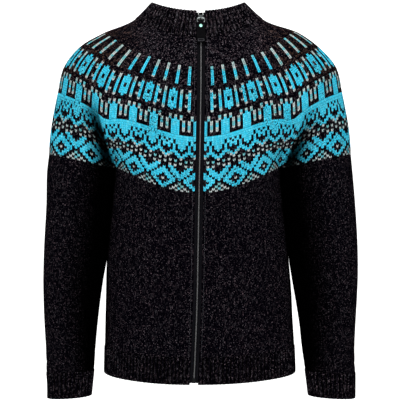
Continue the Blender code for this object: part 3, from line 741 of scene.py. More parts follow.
# yoke: each row of a chart is one row of stitches, top row first, and "start" is its column beside the zip.
# "edge" stitches there stay plain. Letters: . charcoal, t turquoise, w off-white, m mint
yokeCharts = {
    "plain": {"stitches": 72, "start": 0, "edge": 0, "chart": ["."] * 14},
    "spokes": {
        "stitches": 96,
        "start": 2,
        "edge": 0,
        "chart": [
            "w...m...w...w...",
            "w...t...w...w...",
            "w...t...m...w...",
            "m...t...t...m...",
            "t...t...t...t...",
            "t...t...t...t...",
            "t...t...t...t...",
            "t...t...t...m...",
            "w...t...t...w...",
        ],
    },
    "ovals": {
        "stitches": 117,
        "start": 1,
        "edge": 1,
        "chart": [
            "..................",
            "..................",
            "t..w..w..t..w..w..",
            "tt.t..w.ttt.w..t.t",
            "tt.tm.m.ttt.m.mt.t",
            "tt.tw.t.ttt.t.wt.t",
            ".t.t..t.t.t.t..t.t",
            ".t.t..t.t.t.t..t.t",
            "tt.t..t.ttt.t..t.t",
            "tt.tw.t.ttt.t.wt.t",
            "tt.t..m.ttt.m..t.t",
            "t..w..w..t..w..w..",
            "..................",
            "..................",
        ],
    },
    "towers": {
        "stitches": 128,
        "start": 1,
        "edge": 0,
        "chart": [
            "w.w...m.",
            "t.m...w.",
            "tt.w.w.t",
            "tt.w.m.t",
            "tt.m.t.t",
            "tt.m.w.t",
            "tt.w.w.t",
            "tt.....t",
            "tt.....t",
        ],
    },
    "lower": {
        "stitches": 144,
        "start": 1,
        "edge": 0,
        "chart": [
            "tttttttttttt",
            "tttttttttttt",
            "t.t.ttttt.t.",
            ".tt.ttttt.tt",
            "tt.t.ttt.t.t",
            ".t.t.ttt.t.t",
            "...t..t..t..",
            "..ttt...ttt.",
            ".tm.tt.tt.mt",
            "tw...ttt...w",
            "w.....w.....",
            "..w.m...m.w.",
            "w.....w.....",
            "..w.w...w.w.",
            "..tt.....tt.",
            "t..tt...tt..",
            "tt.ttt.ttt.t",
            "ttt.ttttt.tt",
            ".ttt.ttt.ttt",
            "..ttt.t.ttt.",
            "w..tt...tt..",
            "..tt..m..tt.",
            ".tt..m.w..tt",
            "tt..w.m.w..t",
            "m..w.w.w.w..",
        ],
    },
}
yarnCodes = {".": 0, "t": 1, "w": 2, "m": 3}
yokeRows = sum(len(band["chart"]) for band in yokeCharts.values())
yokeStitches = yokeCharts["lower"]["stitches"]
shoulderSpokes = (0.26, 0.74)  # shares of the way round where the spokes run in the off-white yarn


def yarnAt(band, row, stitch):
    if stitch < band["edge"]:
        return 0
    line = band["chart"][row]
    return yarnCodes[line[(stitch + band["start"]) % len(line)]]


# the deep fold in front of each armpit, as its share of the way round at each row; the back has a softer one.
# The chest side of a fold is short and steep, and its sleeve side long and easy
armFolds = {
    "rows": [39, 43.5, 47.5, 51.5, 58.5, 65.5, 71],
    "right": [0.320, 0.311, 0.300, 0.290, 0.282, 0.276, 0.271],
    "left": [0.340, 0.330, 0.318, 0.306, 0.292, 0.279, 0.272],
    "rightPower": [0.0, 0.2, 0.6, 0.9, 1.0, 0.85, 0.0],
    "leftPower": [0.0, 0.0, 0.1, 0.3, 0.75, 0.85, 0.0],
    # how strong the painted shade in each fold is at each row
    "rightShade": [0.0, 0.3, 0.8, 1.0, 1.0, 1.0, 1.0],
    "leftShade": [0.0, 0.0, 0.1, 0.35, 0.9, 1.0, 1.0],
    "chestReach": 12.0,
    "sleeveReach": (40.0, 64.0),
    "depth": 20.0,
    "backShare": 0.5,
}


def foldYoke(side, grid, shares, rows):
    # draws the cloth beside each fold line into it, and gives each point's painted shade, darkest in the fold
    moved, shade = grid.copy(), np.zeros(grid.shape[:2])
    _, far, _, (front, back) = feet[side]
    places = armFolds["rows"]
    line, strength, darkness = (
        np.interp(rows, places, armFolds[sideName(side) + end]) for end in ("", "Power", "Shade")
    )
    reach = np.interp(rows, [places[0], places[-1]], armFolds["sleeveReach"])[None, :]
    lines = [(line, 1.0, 1.0), (back - (line - front), armFolds["backShare"], -1.0)]
    for where, share, inward in lines:
        away = (np.asarray(shares)[:, None] - where[None, :]) * far[-1] * inward
        t = np.clip(np.where(away < 0, -away / armFolds["chestReach"], away / reach), 0, 1)
        drop = (strength * share)[None, :] * (1 - ease(t))
        moved += drop[..., None] * armFolds["depth"] * np.array([0.0, inward, 0.0])
        shade = np.maximum(shade, (darkness * share)[None, :] * np.clip(1.5 - t * 1.6, 0, 1))
    return moved, shade


def makeYoke():
    points, faces, uvs, yarns, shades = [], [], [], [], []
    done = 0
    for name, band in yokeCharts.items():
        rows, halfColumns = len(band["chart"]), 2 * band["stitches"]
        shares = np.arange(halfColumns + 1) / halfColumns
        levels = (done + np.arange(2 * rows + 1) / 2) / yokeRows
        folded = []
        for side in (-1, 1):
            folded.append(foldYoke(side, yokeGrid(side, shares, levels), shares, levels * yokeRows))
        base, paintedShades = (bothSides(right, left) for right, left in zip(*folded))
        normals = gridNormals(base)
        zigzag, flat = [], []
        for c in range(len(base)):
            own = c if c <= halfColumns else 2 * halfColumns - c
            for r in range(rows + 1):
                # between two stitches the knit lies half a row lower
                k = 2 * r + (1 if own % 2 and 0 < r < rows else 0)
                zigzag.append(base[c, k])
                flat.append(normals[c, k])
                shades.append(paintedShades[c, k])
                uvs.append((own / 2, done + r + (0.5 if own % 2 else 0.0)))
        start = len(points)
        bandFaces = turnedOut(gridFaces(len(base), rows + 1), np.array(zigzag), np.array(flat))
        points += zigzag
        faces += [[start + k for k in face] for face in bandFaces]
        for c in range(len(base) - 1):
            own = c if c < halfColumns else 2 * halfColumns - 1 - c
            paler = name == "spokes" and shoulderSpokes[0] < own / halfColumns < shoulderSpokes[1]
            for r in range(rows):
                code = yarnAt(band, r, own // 2)
                if paler and code == 1:
                    code = 3 if (r + own // 2) % 3 == 0 else 2
                yarns.append(code)
        done += rows
    return thicken(meshObject("yokeKnit", points, faces, uvs, yarns, shades), form["knitThick"])


yoke = makeYoke()
finishPiece(yoke, yokeWool, "garment", "patterned_wool", "yoke")
print("yoke made")

# body panels, sleeves and ribs

# small creases, listed one by one: place along the piece, height, half length, half width, depth and lean
creaseLines = {
    "body": sizeTable(
        "side u z long wide depth lean",
        (-1, 0.90, -300, 46, 7, -2.6, 0.9),
        (1, 0.90, -305, 46, 7, -2.6, 0.9),
        (-1, 0.80, -352, 40, 8, -1.8, 0.6),
        (1, 0.78, -360, 40, 8, -1.8, 0.6),
        (-1, 0.62, -590, 55, 10, -1.6, 0.2),
        (1, 0.66, -600, 50, 10, -1.8, -0.2),
        (-1, 0.30, -604, 30, 9, -1.2, 0.0),
        (1, 0.36, -606, 30, 9, -1.2, 0.0),
        (-1, 2.35, -430, 60, 10, -2.2, 0.5),
        (1, 2.35, -450, 60, 10, -2.2, 0.5),
        (-1, 2.75, -560, 60, 11, -2.0, 0.2),
        (1, 2.70, -575, 60, 11, -2.0, 0.2),
    ),
    "sleeve": sizeTable(
        "side u z long wide depth lean",
        (-1, 0.16, -452, 42, 6, -3.0, 0.35),
        (-1, 0.20, -476, 46, 6, -3.2, 0.25),
        (-1, 0.14, -500, 40, 6, -2.6, 0.15),
        (1, 0.16, -458, 42, 6, -3.0, 0.35),
        (1, 0.20, -484, 46, 6, -3.2, 0.25),
        (1, 0.14, -508, 40, 6, -2.6, 0.15),
        (-1, 0.10, -318, 30, 7, -2.2, 0.8),
        (1, 0.10, -322, 30, 7, -2.2, 0.8),
        (-1, 0.30, -612, 40, 6, -2.2, 0.1),
        (1, 0.30, -616, 40, 6, -2.2, 0.1),
        (-1, 0.75, -420, 50, 8, -2.2, 0.5),
        (1, 0.75, -430, 50, 8, -2.2, 0.5),
        (-1, 0.62, -628, 44, 6, -2.0, 0.1),
        (1, 0.62, -632, 44, 6, -2.0, 0.1),
    ),
}


def creaseDepth(lines, side, u, z, around):
    # around is how many millimetres one unit of u takes
    depth = 0.0
    for k in range(len(lines["z"])):
        if lines["side"][k] != side:
            continue
        x, y = (u - lines["u"][k]) * around, z - lines["z"][k]
        lean = lines["lean"][k]
        size = math.hypot(1.0, lean)
        onward, aside = (x + lean * y) / size, (y - lean * x) / size
        fade = -((onward / lines["long"][k]) ** 2) - (aside / lines["wide"][k]) ** 2
        depth += lines["depth"][k] * math.exp(fade)
    return depth


def edgeFade(share):
    # creases die out at the upper and lower edge of their piece
    return max(0.0, math.sin(math.pi * share)) ** 0.3


def paintedFoldShade(share, edge, reach):
    # painted shade in the fold between body and sleeve: 1 at the fold, 0 past its reach
    t = min(max(abs(share - edge) / reach, 0.0), 1.0)
    return 1 - ease(t)


panelLook = {
    "rows": 84,
    "columns": 44,
    "sideColumns": 8,
    "sideGap": 0.12,
    "creaseWide": 190.0,
    "paintedShadeReach": 0.10,
}
seamHalf = panelLook["sideGap"] / form["underarm"]  # half the slit at the side seam


def hemLevel(side, u):
    level = form["hemFrontZ"] + form["hemRib"]
    for _ in range(3):
        _, far, marks = bodyMarks(side, level)
        level = hemZ(np.interp(u, [0, 1, 2, 3], marks) / far[-1]) + form["hemRib"]
    return level


def panelTop(u):
    if u <= 1:
        return lowerEdgeZ(0, u)
    if u >= 2:
        return lowerEdgeZ(2, u - 2)
    return form["creaseZ"]


def stitchCount(side, u):
    # stitches from the zip to a place on the body, in step with the yoke
    front, back = feet[side][3]
    edge = [0.0, front * yokeStitches]
    edge.append(edge[1] + form["underarm"] / form["stitchWide"])
    edge.append(edge[2] + (1 - back) * yokeStitches)
    return np.interp(u, [0, 1, 2, 3], edge)


def bodyGrid(side, us):
    points, normals, uvs, folds = [], [], [], []
    for u in us:
        top, foot = panelTop(u), hemLevel(side, u)
        # painted shade: full on the strip under the arm, fading away from the folds at its front and back
        # edges
        foldPaintedShade = 1.0 if 1 < u < 2 else max(paintedFoldShade(u, edge, panelLook["paintedShadeReach"]) for edge in (1, 2))
        for share in np.arange(panelLook["rows"]) / (panelLook["rows"] - 1):
            z = top + (foot - top) * share
            point, normal = bodyPlace(side, u, z)
            draw = creaseDepth(creaseLines["body"], side, u, z, panelLook["creaseWide"])
            points.append(point + normal * draw * edgeFade(share))
            normals.append(normal)
            uvs.append((stitchCount(side, u), yokeRows + (top - z) / form["rowTall"]))
            folds.append(foldPaintedShade)
    return points, normals, uvs, folds


def makePanel(name, grids, node):
    parts = [np.concatenate(part) for part in zip(*grids)]
    panel = thicken(knitMesh(name, panelLook["rows"], *parts), form["knitThick"])
    return finishPiece(panel, plainWool, "garment", "charcoal_wool", node)


def makeBody():
    columns, sideColumns = panelLook["columns"], panelLook["sideColumns"]
    for side in (-1, 1):
        us = [np.linspace(0, 1, columns), np.linspace(1, 1.5 - seamHalf, sideColumns)[1:]]
        grid = bodyGrid(side, np.concatenate(us))
        panel = makePanel(pieceName("front", side, "Knit"), [grid], "front_" + sideName(side))
    us = np.concatenate([np.linspace(1.5 + seamHalf, 2, sideColumns), np.linspace(2, 3, columns)[1:]])
    panel = makePanel("backKnit", [bodyGrid(-1, us), bodyGrid(1, us[::-1][1:])], "back")


makeBody()
print("body made")

ribLook = {
    "crest": 1.1,
    "groove": 1.2,
    "steps": 8,
    "rows": 14,
    "wall": 2.2,
    "rowShare": 0.9,  # rows of stitches from one row of points to the next
    "hemRibs": 34,
    "cuffRibs": 34,
    "collarRibs": 38,
}


def ribHeight(phase):
    wave = max(0.0, 0.5 + 0.5 * math.cos(2 * math.pi * (phase - 0.5)))
    return -ribLook["groove"] + (ribLook["crest"] + ribLook["groove"]) * wave**0.75


# painted shade in the grooves between the ribs, none on their crests
def ribShade(phase):
    return 0.85 * (0.5 + 0.5 * math.cos(2 * math.pi * phase)) ** 1.3


def ribEnds(share):
    # the rib swells a little inside its edges and draws in at the seam
    if share < 0.5:
        return 0.55 + 0.45 * math.sin(math.pi * min(share * 6, 0.5))
    return 0.75 + 0.25 * math.sin(math.pi * min((1 - share) * 8, 0.5))


def makeRibs(name, columns, ribs, node, closed=False):
    # columns: for each column its points and normals from seam to edge
    count, rows = len(columns), ribLook["rows"]
    points, normals, uvs, folds = [], [], [], []
    for c, column in enumerate(columns):
        phase = c * ribs / (count if closed else count - 1)
        for j, (point, normal) in enumerate(column):
            share = j / (rows - 1)
            points.append(point + normal * ribHeight(phase % 1.0) * ribEnds(share))
            normals.append(normal)
            uvs.append((phase, j * ribLook["rowShare"]))
            folds.append(ribShade(phase))
    if closed:
        # the last column repeats the first, so the stitch map runs on without a jump
        points, normals, folds = (part + part[:rows] for part in (points, normals, folds))
        uvs += [(u + ribs, v) for u, v in uvs[:rows]]
    band = knitMesh(name, rows, points, normals, uvs, folds)
    if closed:
        weldSeam(band)
    thicken(band, ribLook["wall"])
    return finishPiece(band, ribWool, "garment", "charcoal_rib", node)


def weldSeam(piece):
    work = bmesh.new()
    work.from_mesh(piece.data)
    bmesh.ops.remove_doubles(work, verts=work.verts, dist=0.00001)
    fillMesh(piece.data, work, turnOut=False)


def hemColumns(side, first, last):
    count, rows = ribLook["hemRibs"] * ribLook["steps"], ribLook["rows"]
    columns = []
    for k in range(count + 1):
        column = []
        for j in range(rows):
            rise = form["hemRib"] * (1 - j / (rows - 1))
            level = form["hemSideZ"] + rise
            for _ in range(2):
                _, far, marks = bodyMarks(side, level)
                ends = np.interp([first, last], [0, 1, 2, 3], marks)
                where = ends[0] + (ends[1] - ends[0]) * k / count
                level = hemZ(where / far[-1]) + rise
            column.append(bodyPlace(side, np.interp(where, marks, [0, 1, 2, 3]), level))
        columns.append(column)
    return columns


def makeHem():
    ribs = ribLook["hemRibs"]
    for side in (-1, 1):
        columns = hemColumns(side, 0, 1.5 - seamHalf)
        band = makeRibs(pieceName("hem", side, "Rib"), columns, ribs, "hem_" + sideName(side))
        "front_" + sideName(side)
    right, left = (hemColumns(side, 1.5 + seamHalf, 3) for side in (-1, 1))
    band = makeRibs("hemBackRib", right + left[::-1][1:], 2 * ribs, "hem_back")


makeHem()
print("hem made")


sleeveLook = {
    "rows": 100,
    "overColumns": 60,
    "underColumns": 11,
    "creaseWide": 330.0,
    "shadeEdges": (0.05, 0.95),
    "shadeHeights": (-430, -266),
    "shadeReach": (0.27, 0.20),
}


# painted shade on the sleeve: full on its underside, fading away from the folds where it meets the body at
# front and back
def sleeveShade(u, z):
    low, high = sleeveLook["shadeEdges"]
    if not low < u < high:
        return 1.0
    reach = np.interp(z, sleeveLook["shadeHeights"], sleeveLook["shadeReach"])
    return max(paintedFoldShade(u, low, reach), paintedFoldShade(u, high, reach))


def makeSleeve(side):
    rows = sleeveLook["rows"]
    over = np.linspace(0, 1, sleeveLook["overColumns"] + 1)[:-1]
    under = np.linspace(1, 2, sleeveLook["underColumns"] + 1)
    points, normals, uvs, folds = [], [], [], []
    front, back = (share * yokeStitches for share in feet[side][3])
    edges = [front, back, back + form["underarm"] / form["stitchWide"]]
    for u in [*over, *under]:
        top = lowerEdgeZ(1, u) if u <= 1 else form["creaseZ"]
        seam = form["cuffZ"] + form["cuffRib"]
        foot = cuffZ(sleeveShare(side, u % 2.0, seam)) + form["cuffRib"]
        for share in np.arange(rows) / (rows - 1):
            z = top + (foot - top) * share
            point, normal = sleevePlace(side, u % 2.0, z)
            draw = creaseDepth(creaseLines["sleeve"], side, u % 2.0, z, sleeveLook["creaseWide"])
            points.append(point + normal * draw * edgeFade(share))
            normals.append(normal)
            uvs.append((np.interp(u, [0, 1, 2], edges), yokeRows + (top - z) / form["rowTall"]))
            folds.append(sleeveShade(u, z))
    sleeve = knitMesh(pieceName("sleeve", side, "Knit"), rows, points, normals, uvs, folds)
    weldSeam(sleeve)
    thicken(sleeve, form["knitThick"])
    finishPiece(sleeve, plainWool, "garment", "charcoal_wool", "sleeve_" + sideName(side))


def makeCuff(side):
    ribs = ribLook["cuffRibs"]
    rises = [form["cuffRib"] * (1 - j / (ribLook["rows"] - 1)) for j in range(ribLook["rows"])]
    shares = np.arange(ribs * ribLook["steps"]) / (ribs * ribLook["steps"])
    columns = [[sleeveAt(side, share, cuffZ(share) + rise) for rise in rises] for share in shares]
    cuff = makeRibs(pieceName("cuff", side, "Rib"), columns, ribs, "cuff_" + sideName(side), closed=True)
    "sleeve_" + sideName(side)


for side in (-1, 1):
    makeSleeve(side)
    makeCuff(side)
print("sleeves made")


def makeCollar():
    ribs = ribLook["collarRibs"]
    shares = np.linspace(0, 1, ribs * ribLook["steps"] + 1)
    levels = np.linspace(1, 0, ribLook["rows"])
    grid = bothSides(*[collarGrid(side, shares, levels) for side in (-1, 1)])
    columns = [list(zip(places, normals)) for places, normals in zip(grid, gridNormals(grid))]
    collar = makeRibs("collarRib", columns, 2 * ribs, "collar")


makeCollar()
print("collar made")

# zip


def frontLine(clear):
    side = 1 if clear >= 0 else -1
    rings = [ringLine(row, side, [0.0], abs(clear))[0] for row in range(ringCount)]
    levels = np.linspace(form["yokeFrontZ"], form["hemFrontZ"], 60)
    body = [bodyCurve(side, z, abs(clear))[0] for z in levels]
    line, _ = splineLine(np.vstack([rings, body[0]]), np.array([0.0, 0.0, -1.0]))
    return np.vstack([line, body[1:]])


def zipStrip(clear, top, foot, depth, count):
    # points of a line on the front, at a depth below the cloth's surface, and the directions out of the cloth
    near, far = frontLine(clear - 2.0), frontLine(clear + 2.0)
    levels = np.linspace(top, foot, count)
    lines = [along(line[::-1], line[::-1, 2], levels) for line in (near, far)]
    middle = (lines[0] + lines[1]) / 2
    onward = np.gradient(middle, axis=0)
    out = np.cross(lines[1] - lines[0], onward)
    out /= np.linalg.norm(out, axis=1, keepdims=True)
    out[out[:, 1] > 0] *= -1
    return middle - depth * out, out


# heights and sizes in millimetres; a depth is measured into the cloth from its surface
zipLook = {
    "chainTop": 3.0,
    "chainRise": 12.5,
    "coilDepth": 2.9,
    "coilSteps": 180,
    "coilStart": 0.05,
    "coilPitch": 1.5,
    "toothSize": (3.1, 0.95, 0.8),
    "toothReach": 1.25,
    "tipReach": 0.55,
    "tilt": 0.16,
    "sewingAway": 4.0,
    "sewingTop": 15.0,
    "sewingDepth": -0.35,
    "sewingSteps": 200,
    "sewingStart": 1.0,
    "sewingPitch": 4.2,
    "stitchSize": (0.55, 0.5, 3.0),
    "backingHalf": 4.4,
    "backingDepth": 4.35,
    "backingThick": 0.35,
    "backingLift": 0.5,
    "backingSteps": 170,
    "stopPlace": (4.1, 16.9, 2.6),
    "stopSize": (2.0, 1.2, 2.7),
    "barPowers": (0.55, 0.8, 0.8),
}


def nodeTree(name, kinds):
    tree = bpy.data.node_groups.new(name, "GeometryNodeTree")
    tree.interface.new_socket("Geometry", in_out="INPUT", socket_type="NodeSocketGeometry")
    ids = {}
    for label, kind in kinds.items():
        socket = tree.interface.new_socket(label, in_out="INPUT", socket_type="NodeSocket" + kind)
        ids[label] = socket.identifier
    tree.interface.new_socket("Geometry", in_out="OUTPUT", socket_type="NodeSocketGeometry")
    return tree, ids


def addNode(tree, kind, settings, links):
    node = tree.nodes.new(kind)
    for key, value in settings.items():
        setattr(node, key, value)
    for key, value in links.items():
        if isinstance(value, bpy.types.NodeSocket):
            tree.links.new(value, node.inputs[key])
        else:
            node.inputs[key].default_value = value
    return node


def repeatAlong(name, line, step, unitPiece, material, start, turn=(0.0, 0.0, 0.0)):
    # copies of a small mesh along a line, upright to it and facing forward; the small mesh is used up
    curve = bpy.data.curves.new(name + "Path", "CURVE")
    curve.dimensions = "3D"
    spline = curve.splines.new("POLY")
    spline.points.add(len(line) - 1)
    for point, place in zip(spline.points, line):
        point.co = (*(place * mm), 1.0)
    path = addObject(name, curve)
    kinds = {"Spacing": "Float", "Start": "Float", "Unit": "Object", "Turn": "Vector", "Finish": "Material"}
    tree, ids = nodeTree(name + "Nodes", kinds)
    given = tree.nodes.new("NodeGroupInput").outputs
    lengthMode = {"mode": "LENGTH"}
    links = {0: given["Geometry"], 4: given["Start"], 5: 10.0}
    trim = addNode(tree, "GeometryNodeTrimCurve", lengthMode, links)
    links = {0: trim.outputs[0], 2: given["Spacing"]}
    points = addNode(tree, "GeometryNodeCurveToPoints", lengthMode, links)
    align = "FunctionNodeAlignRotationToVector"
    first = addNode(tree, align, {"axis": "Z"}, {"Vector": points.outputs["Tangent"]})
    links = {"Rotation": first.outputs[0], "Vector": (0.0, 1.0, 0.0)}
    second = addNode(tree, align, {"axis": "Y", "pivot_axis": "Z"}, links)
    spin = addNode(tree, "FunctionNodeEulerToRotation", {}, {0: given["Turn"]})
    links = {0: second.outputs[0], 1: spin.outputs[0]}
    rotation = addNode(tree, "FunctionNodeRotateRotation", {"rotation_space": "LOCAL"}, links)
    info = addNode(tree, "GeometryNodeObjectInfo", {}, {0: given["Unit"]})
    links = {"Points": points.outputs[0], "Instance": info.outputs["Geometry"]}
    links["Rotation"] = rotation.outputs[0]
    copies = addNode(tree, "GeometryNodeInstanceOnPoints", {}, links)
    real = addNode(tree, "GeometryNodeRealizeInstances", {}, {0: copies.outputs[0]})
    finish = addNode(tree, "GeometryNodeSetMaterial", {}, {0: real.outputs[0], "Material": given["Finish"]})
    addNode(tree, "NodeGroupOutput", {}, {0: finish.outputs[0]})
    modifier = path.modifiers.new("repeat", "NODES")
    modifier.node_group = tree
    values = {"Spacing": step * mm, "Start": start * mm, "Unit": unitPiece, "Turn": turn, "Finish": material}
    for label, value in values.items():
        modifier[ids[label]] = value
    bpy.context.view_layer.update()
    graph = bpy.context.evaluated_depsgraph_get()
    mesh = bpy.data.meshes.new_from_object(path.evaluated_get(graph))
    path.modifiers.clear()
    for used in (path, unitPiece):
        bpy.data.objects.remove(used)
    mesh.shade_smooth()
    return addObject(name, mesh)


def roundedBar(name, size, offset=(0.0, 0.0, 0.0)):
    # a small rounded bar of a given size in millimetres, long in x
    mesh = bpy.data.meshes.new(name)
    work = bmesh.new()
    bmesh.ops.create_uvsphere(work, u_segments=8, v_segments=6, radius=0.5)
    for vertex in work.verts:
        pairs = zip(reversed(vertex.co), zipLook["barPowers"])
        stretch = [math.copysign(abs(c * 2) ** power / 2, c) for c, power in pairs]
        vertex.co = [(s * d + o) * mm for s, d, o in zip(stretch, size, offset)]
    fillMesh(mesh, work)
    mesh.shade_smooth()
    return addObject(name, mesh)


def joinMeshes(name, pieces):
    work = bmesh.new()
    for piece in pieces:
        work.from_mesh(piece.data)
    mesh = bpy.data.meshes.new(name)
    fillMesh(mesh, work, turnOut=False)
    for piece in pieces:
        bpy.data.objects.remove(piece)
    mesh.shade_smooth()
    return addObject(name, mesh)


def loftMesh(name, loops, capped):
    # a closed mesh through loops of points: its ends are capped, or its last loop is joined to its first
    work = bmesh.new()
    loops = [[work.verts.new(place) for place in loop] for loop in loops]
    for low, high in zip(loops, loops[1:] if capped else loops[1:] + loops[:1]):
        for k in range(len(low)):
            n = (k + 1) % len(low)
            work.faces.new([low[k], low[n], high[n], high[k]])
    if capped:
        work.faces.new(loops[0][::-1])
        work.faces.new(loops[-1])
    mesh = bpy.data.meshes.new(name)
    fillMesh(mesh, work)
    return addObject(name, mesh)


def makeCoil():
    foot = form["hemFrontZ"] + zipLook["chainRise"]
    middle, _ = zipStrip(0.0, zipLook["chainTop"], foot, zipLook["coilDepth"], zipLook["coilSteps"])
    halves = []
    for side in (-1, 1):
        tooth = roundedBar("tooth", zipLook["toothSize"], (side * zipLook["toothReach"], 0.0, 0.0))
        # the tips carry the coil's painted highlight
        highlightTips = [float(abs(vertex.co[0]) < zipLook["tipReach"] * mm) for vertex in tooth.data.vertices]
        tooth.data.attributes.new("tipHighlight", "FLOAT", "POINT").data.foreach_set("value", highlightTips)
        start = zipLook["coilStart"] + (zipLook["coilPitch"] / 2 if side > 0 else 0.0)
        turn = (0.0, side * zipLook["tilt"], 0.0)
        name = "coil" + sideName(side)
        halves.append(repeatAlong(name, middle, zipLook["coilPitch"], tooth, coilNylon, start, turn))
    finishPiece(joinMeshes("zipCoil", halves), coilNylon, "garment", "zip_coil", "zip_chain")


def makeSewing():
    seams = []
    for side in (-1, 1):
        away = form["bareZip"] / 2 + zipLook["sewingAway"]
        foot = form["hemFrontZ"] + zipLook["sewingAway"]
        ends = (zipLook["sewingTop"], foot)
        line, _ = zipStrip(side * away, *ends, zipLook["sewingDepth"], zipLook["sewingSteps"])
        stitch = roundedBar("seamStitch", zipLook["stitchSize"])
        name, start = "seam" + sideName(side), zipLook["sewingStart"]
        seams.append(repeatAlong(name, line, zipLook["sewingPitch"], stitch, threadCotton, start))
    finishPiece(joinMeshes("zipSewing", seams), threadCotton, "garment", "zip_tape")


def makeBacking():
    # the woven backing that the coils are sewn to, down through the foot piece to the ends of the tapes
    tapeEnd = min(v.co.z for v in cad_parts["zip_tape_right"].data.vertices) / mm
    ends = (zipLook["chainTop"], tapeEnd + zipLook["backingLift"])
    sections = []
    for edge in (-zipLook["backingHalf"], zipLook["backingHalf"]):
        front, out = zipStrip(edge, *ends, zipLook["backingDepth"], zipLook["backingSteps"])
        sections += [front, front - zipLook["backingThick"] * out]
    sections = np.array(sections)[[0, 2, 3, 1]] * mm
    backing = loftMesh("zipBacking", sections.transpose(1, 0, 2), capped=True)
    finishPiece(backing, tapeCloth, "garment", "zip_tape")


def makeStops():
    away, height, depth = zipLook["stopPlace"]
    stops = []
    for side in (-1, 1):
        place, _ = zipStrip(side * away, height + 1, height - 1, depth, 3)
        stop = roundedBar("stop" + sideName(side), zipLook["stopSize"])
        stop.data.transform(mathutils.Matrix.Translation(place[1] * mm))
        stops.append(stop)
    finishPiece(joinMeshes("zipStops", stops), stopMetal, "garment", "dark_metal")


makeCoil()
makeSewing()
makeBacking()
makeStops()

# the leather tab, with a plain rivet through its top and a stitched bar at its foot; sizes in millimetres
tabLook = {
    "topInset": 1.8,  # places down the tab are measured from this far below its top
    "halfThick": 1.3,
    "rivetAt": 8.6,
    "rivetSize": 3.3,
    "rivetTall": 0.9,
    "rivetSides": 24,
    "rivetRings": [(1.0, -0.3), (1.0, 0.45), (0.93, 0.75), (0.7, 0.95), (0.35, 1.0)],
    "barAt": 38.4,
    "barSize": (11.0, 4.6),
    "barLine": 0.6,
    "barTall": 0.3,
}


def makeTab():
    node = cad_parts["zip_tab"]
    mesh = node.data.copy()
    mesh.transform(node.matrix_world)
    points = np.array([vertex.co for vertex in mesh.vertices])
    centre = (points.max(axis=0) + points.min(axis=0)) / 2
    down = np.linalg.svd(points - points.mean(axis=0))[2][0]
    down = down * -math.copysign(1, down[2])
    left = unit(np.cross(down, np.array([0.0, 1.0, 0.0])))
    out = np.cross(left, down)
    out = out * -math.copysign(1, out[1])
    top = (points @ down).min() + tabLook["topInset"] * mm
    face = centre + (top - centre @ down) * down + tabLook["halfThick"] * mm * out
    finishPiece(addObject("pullTab", mesh), tabLeather, "pull", "pull_leather", "zip_tab")

    def onTab(x, y, z):
        # a place across the tab, down it and out of its face
        return face + (x * left + y * down + z * out) * mm

    angles = np.arange(tabLook["rivetSides"]) * 2 * math.pi / tabLook["rivetSides"]
    at, loops = tabLook["rivetAt"], []
    for size, tall in tabLook["rivetRings"]:
        reach, height = tabLook["rivetSize"] * size, tabLook["rivetTall"] * tall
        loops.append([onTab(reach * math.cos(a), at + reach * math.sin(a), height) for a in angles])
    rivet = loftMesh("tabRivet", loops, capped=True)
    rivet.data.shade_smooth()
    finishPiece(rivet, rivetMetal, "pull", "bright_metal")

    wide, tall = (size / 2 for size in tabLook["barSize"])
    line, height, at = tabLook["barLine"], tabLook["barTall"], tabLook["barAt"]
    corners = ((-1, -1), (1, -1), (1, 1), (-1, 1))
    loops = [
        [onTab(a * (wide - shrink), at + b * (tall - shrink), lift * height) for a, b in corners]
        for shrink, lift in ((0, -0.3), (0, 1), (line, 1), (line, -0.3))
    ]
    finishPiece(loftMesh("tabStitching", loops, capped=False), threadCotton, "pull", "pull_leather")


makeTab()
print("zip made")

nodeFinishes = {
    "zip_tape_right": tapeCloth,
    "zip_tape_left": tapeCloth,
    "zip_retainer": footPlastic,
    "zip_slider": darkMetal,
    "zip_ring": brightMetal,
}
for node, material in nodeFinishes.items():
    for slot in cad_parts[node].material_slots:
        slot.material = material

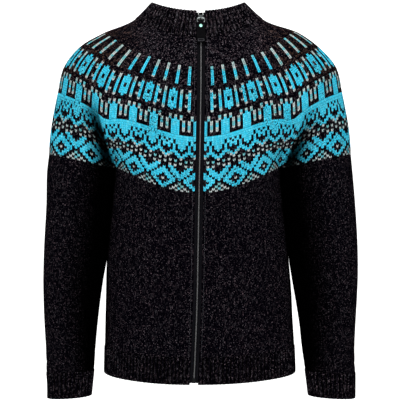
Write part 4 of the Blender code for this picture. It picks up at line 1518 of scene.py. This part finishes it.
# floor, light and camera
studio = {
    "cameraPlace": (0.0, -2.5, -0.327),
    "lens": 118.4,
    "floorZ": -0.80,
    "backdrop": (0.93, 0.93, 0.93),
    "backdropGlow": 0.45,
    "backdropHalf": 6.0,
    "bendFrom": 2.2,
    "bendRadius": 1.2,
    "wallTop": 5.0,
    "worldStrength": 0.55,
    "lights": [
        # name, place, what it points at, size in metres, watts
        ("keyLight", (-0.25, -1.7, 1.15), (0, 0, -0.15), 0.9, 34),
        ("fillLight", (0.9, -2.4, 0.7), (0, 0, -0.3), 1.4, 16),
        ("topLight", (0.0, 0.2, 1.7), (0, 0, -0.1), 1.2, 26),
    ],
}


def makeBackdrop():
    half, bend, radius, floorZ = (studio[k] for k in ("backdropHalf", "bendFrom", "bendRadius", "floorZ"))
    profile = [(-half, floorZ)]
    for a in np.linspace(0, math.pi / 2, 16):
        profile.append((bend + radius * math.sin(a), floorZ + radius * (1 - math.cos(a))))
    profile.append((bend + radius, studio["wallTop"]))
    points = [(x, y, z) for x in (-half, half) for y, z in profile]
    mesh = bpy.data.meshes.new("backdrop")
    mesh.from_pydata(points, [], gridFaces(2, len(profile)))
    mesh.shade_smooth()
    backdrop = addObject("backdrop", mesh)
    material = bpy.data.materials.new("backdrop white")
    material.use_nodes = True
    inputs = material.node_tree.nodes["Principled BSDF"].inputs
    inputs["Base Color"].default_value = (*studio["backdrop"], 1.0)
    inputs["Roughness"].default_value = 0.9
    inputs["Emission Color"].default_value = (1.0, 1.0, 1.0, 1.0)
    inputs["Emission Strength"].default_value = studio["backdropGlow"]
    mesh.materials.append(material)


def softLight(name, place, target, size, watts):
    light = bpy.data.lights.new(name, "AREA")
    light.shape = "DISK"
    light.size = size
    light.energy = watts
    lamp = addObject(name, light)
    lamp.location = place
    direction = np.array(target) - np.array(place)
    flat = math.hypot(direction[0], direction[1])
    turn = math.atan2(-direction[0], direction[1])
    lamp.rotation_euler = (math.pi / 2 + math.atan2(direction[2], flat), 0.0, turn)


makeBackdrop()
for name, place, target, size, watts in studio["lights"]:
    softLight(name, place, target, size, watts)
world = bpy.data.worlds.new("studio world")
bpy.context.scene.world = world
world.use_nodes = True
sky = world.node_tree.nodes["Background"].inputs
sky["Color"].default_value = (1.0, 1.0, 1.0, 1.0)
sky["Strength"].default_value = studio["worldStrength"]

cameraData = bpy.data.cameras.new("camera")
cameraData.lens = studio["lens"]
cameraData.sensor_width = 36.0
camera = addObject("camera", cameraData)
camera.location = studio["cameraPlace"]
camera.rotation_euler = (math.pi / 2, 0.0, 0.0)
bpy.context.scene.camera = camera
bpy.context.scene.view_settings.view_transform = "Standard"
print("studio made")
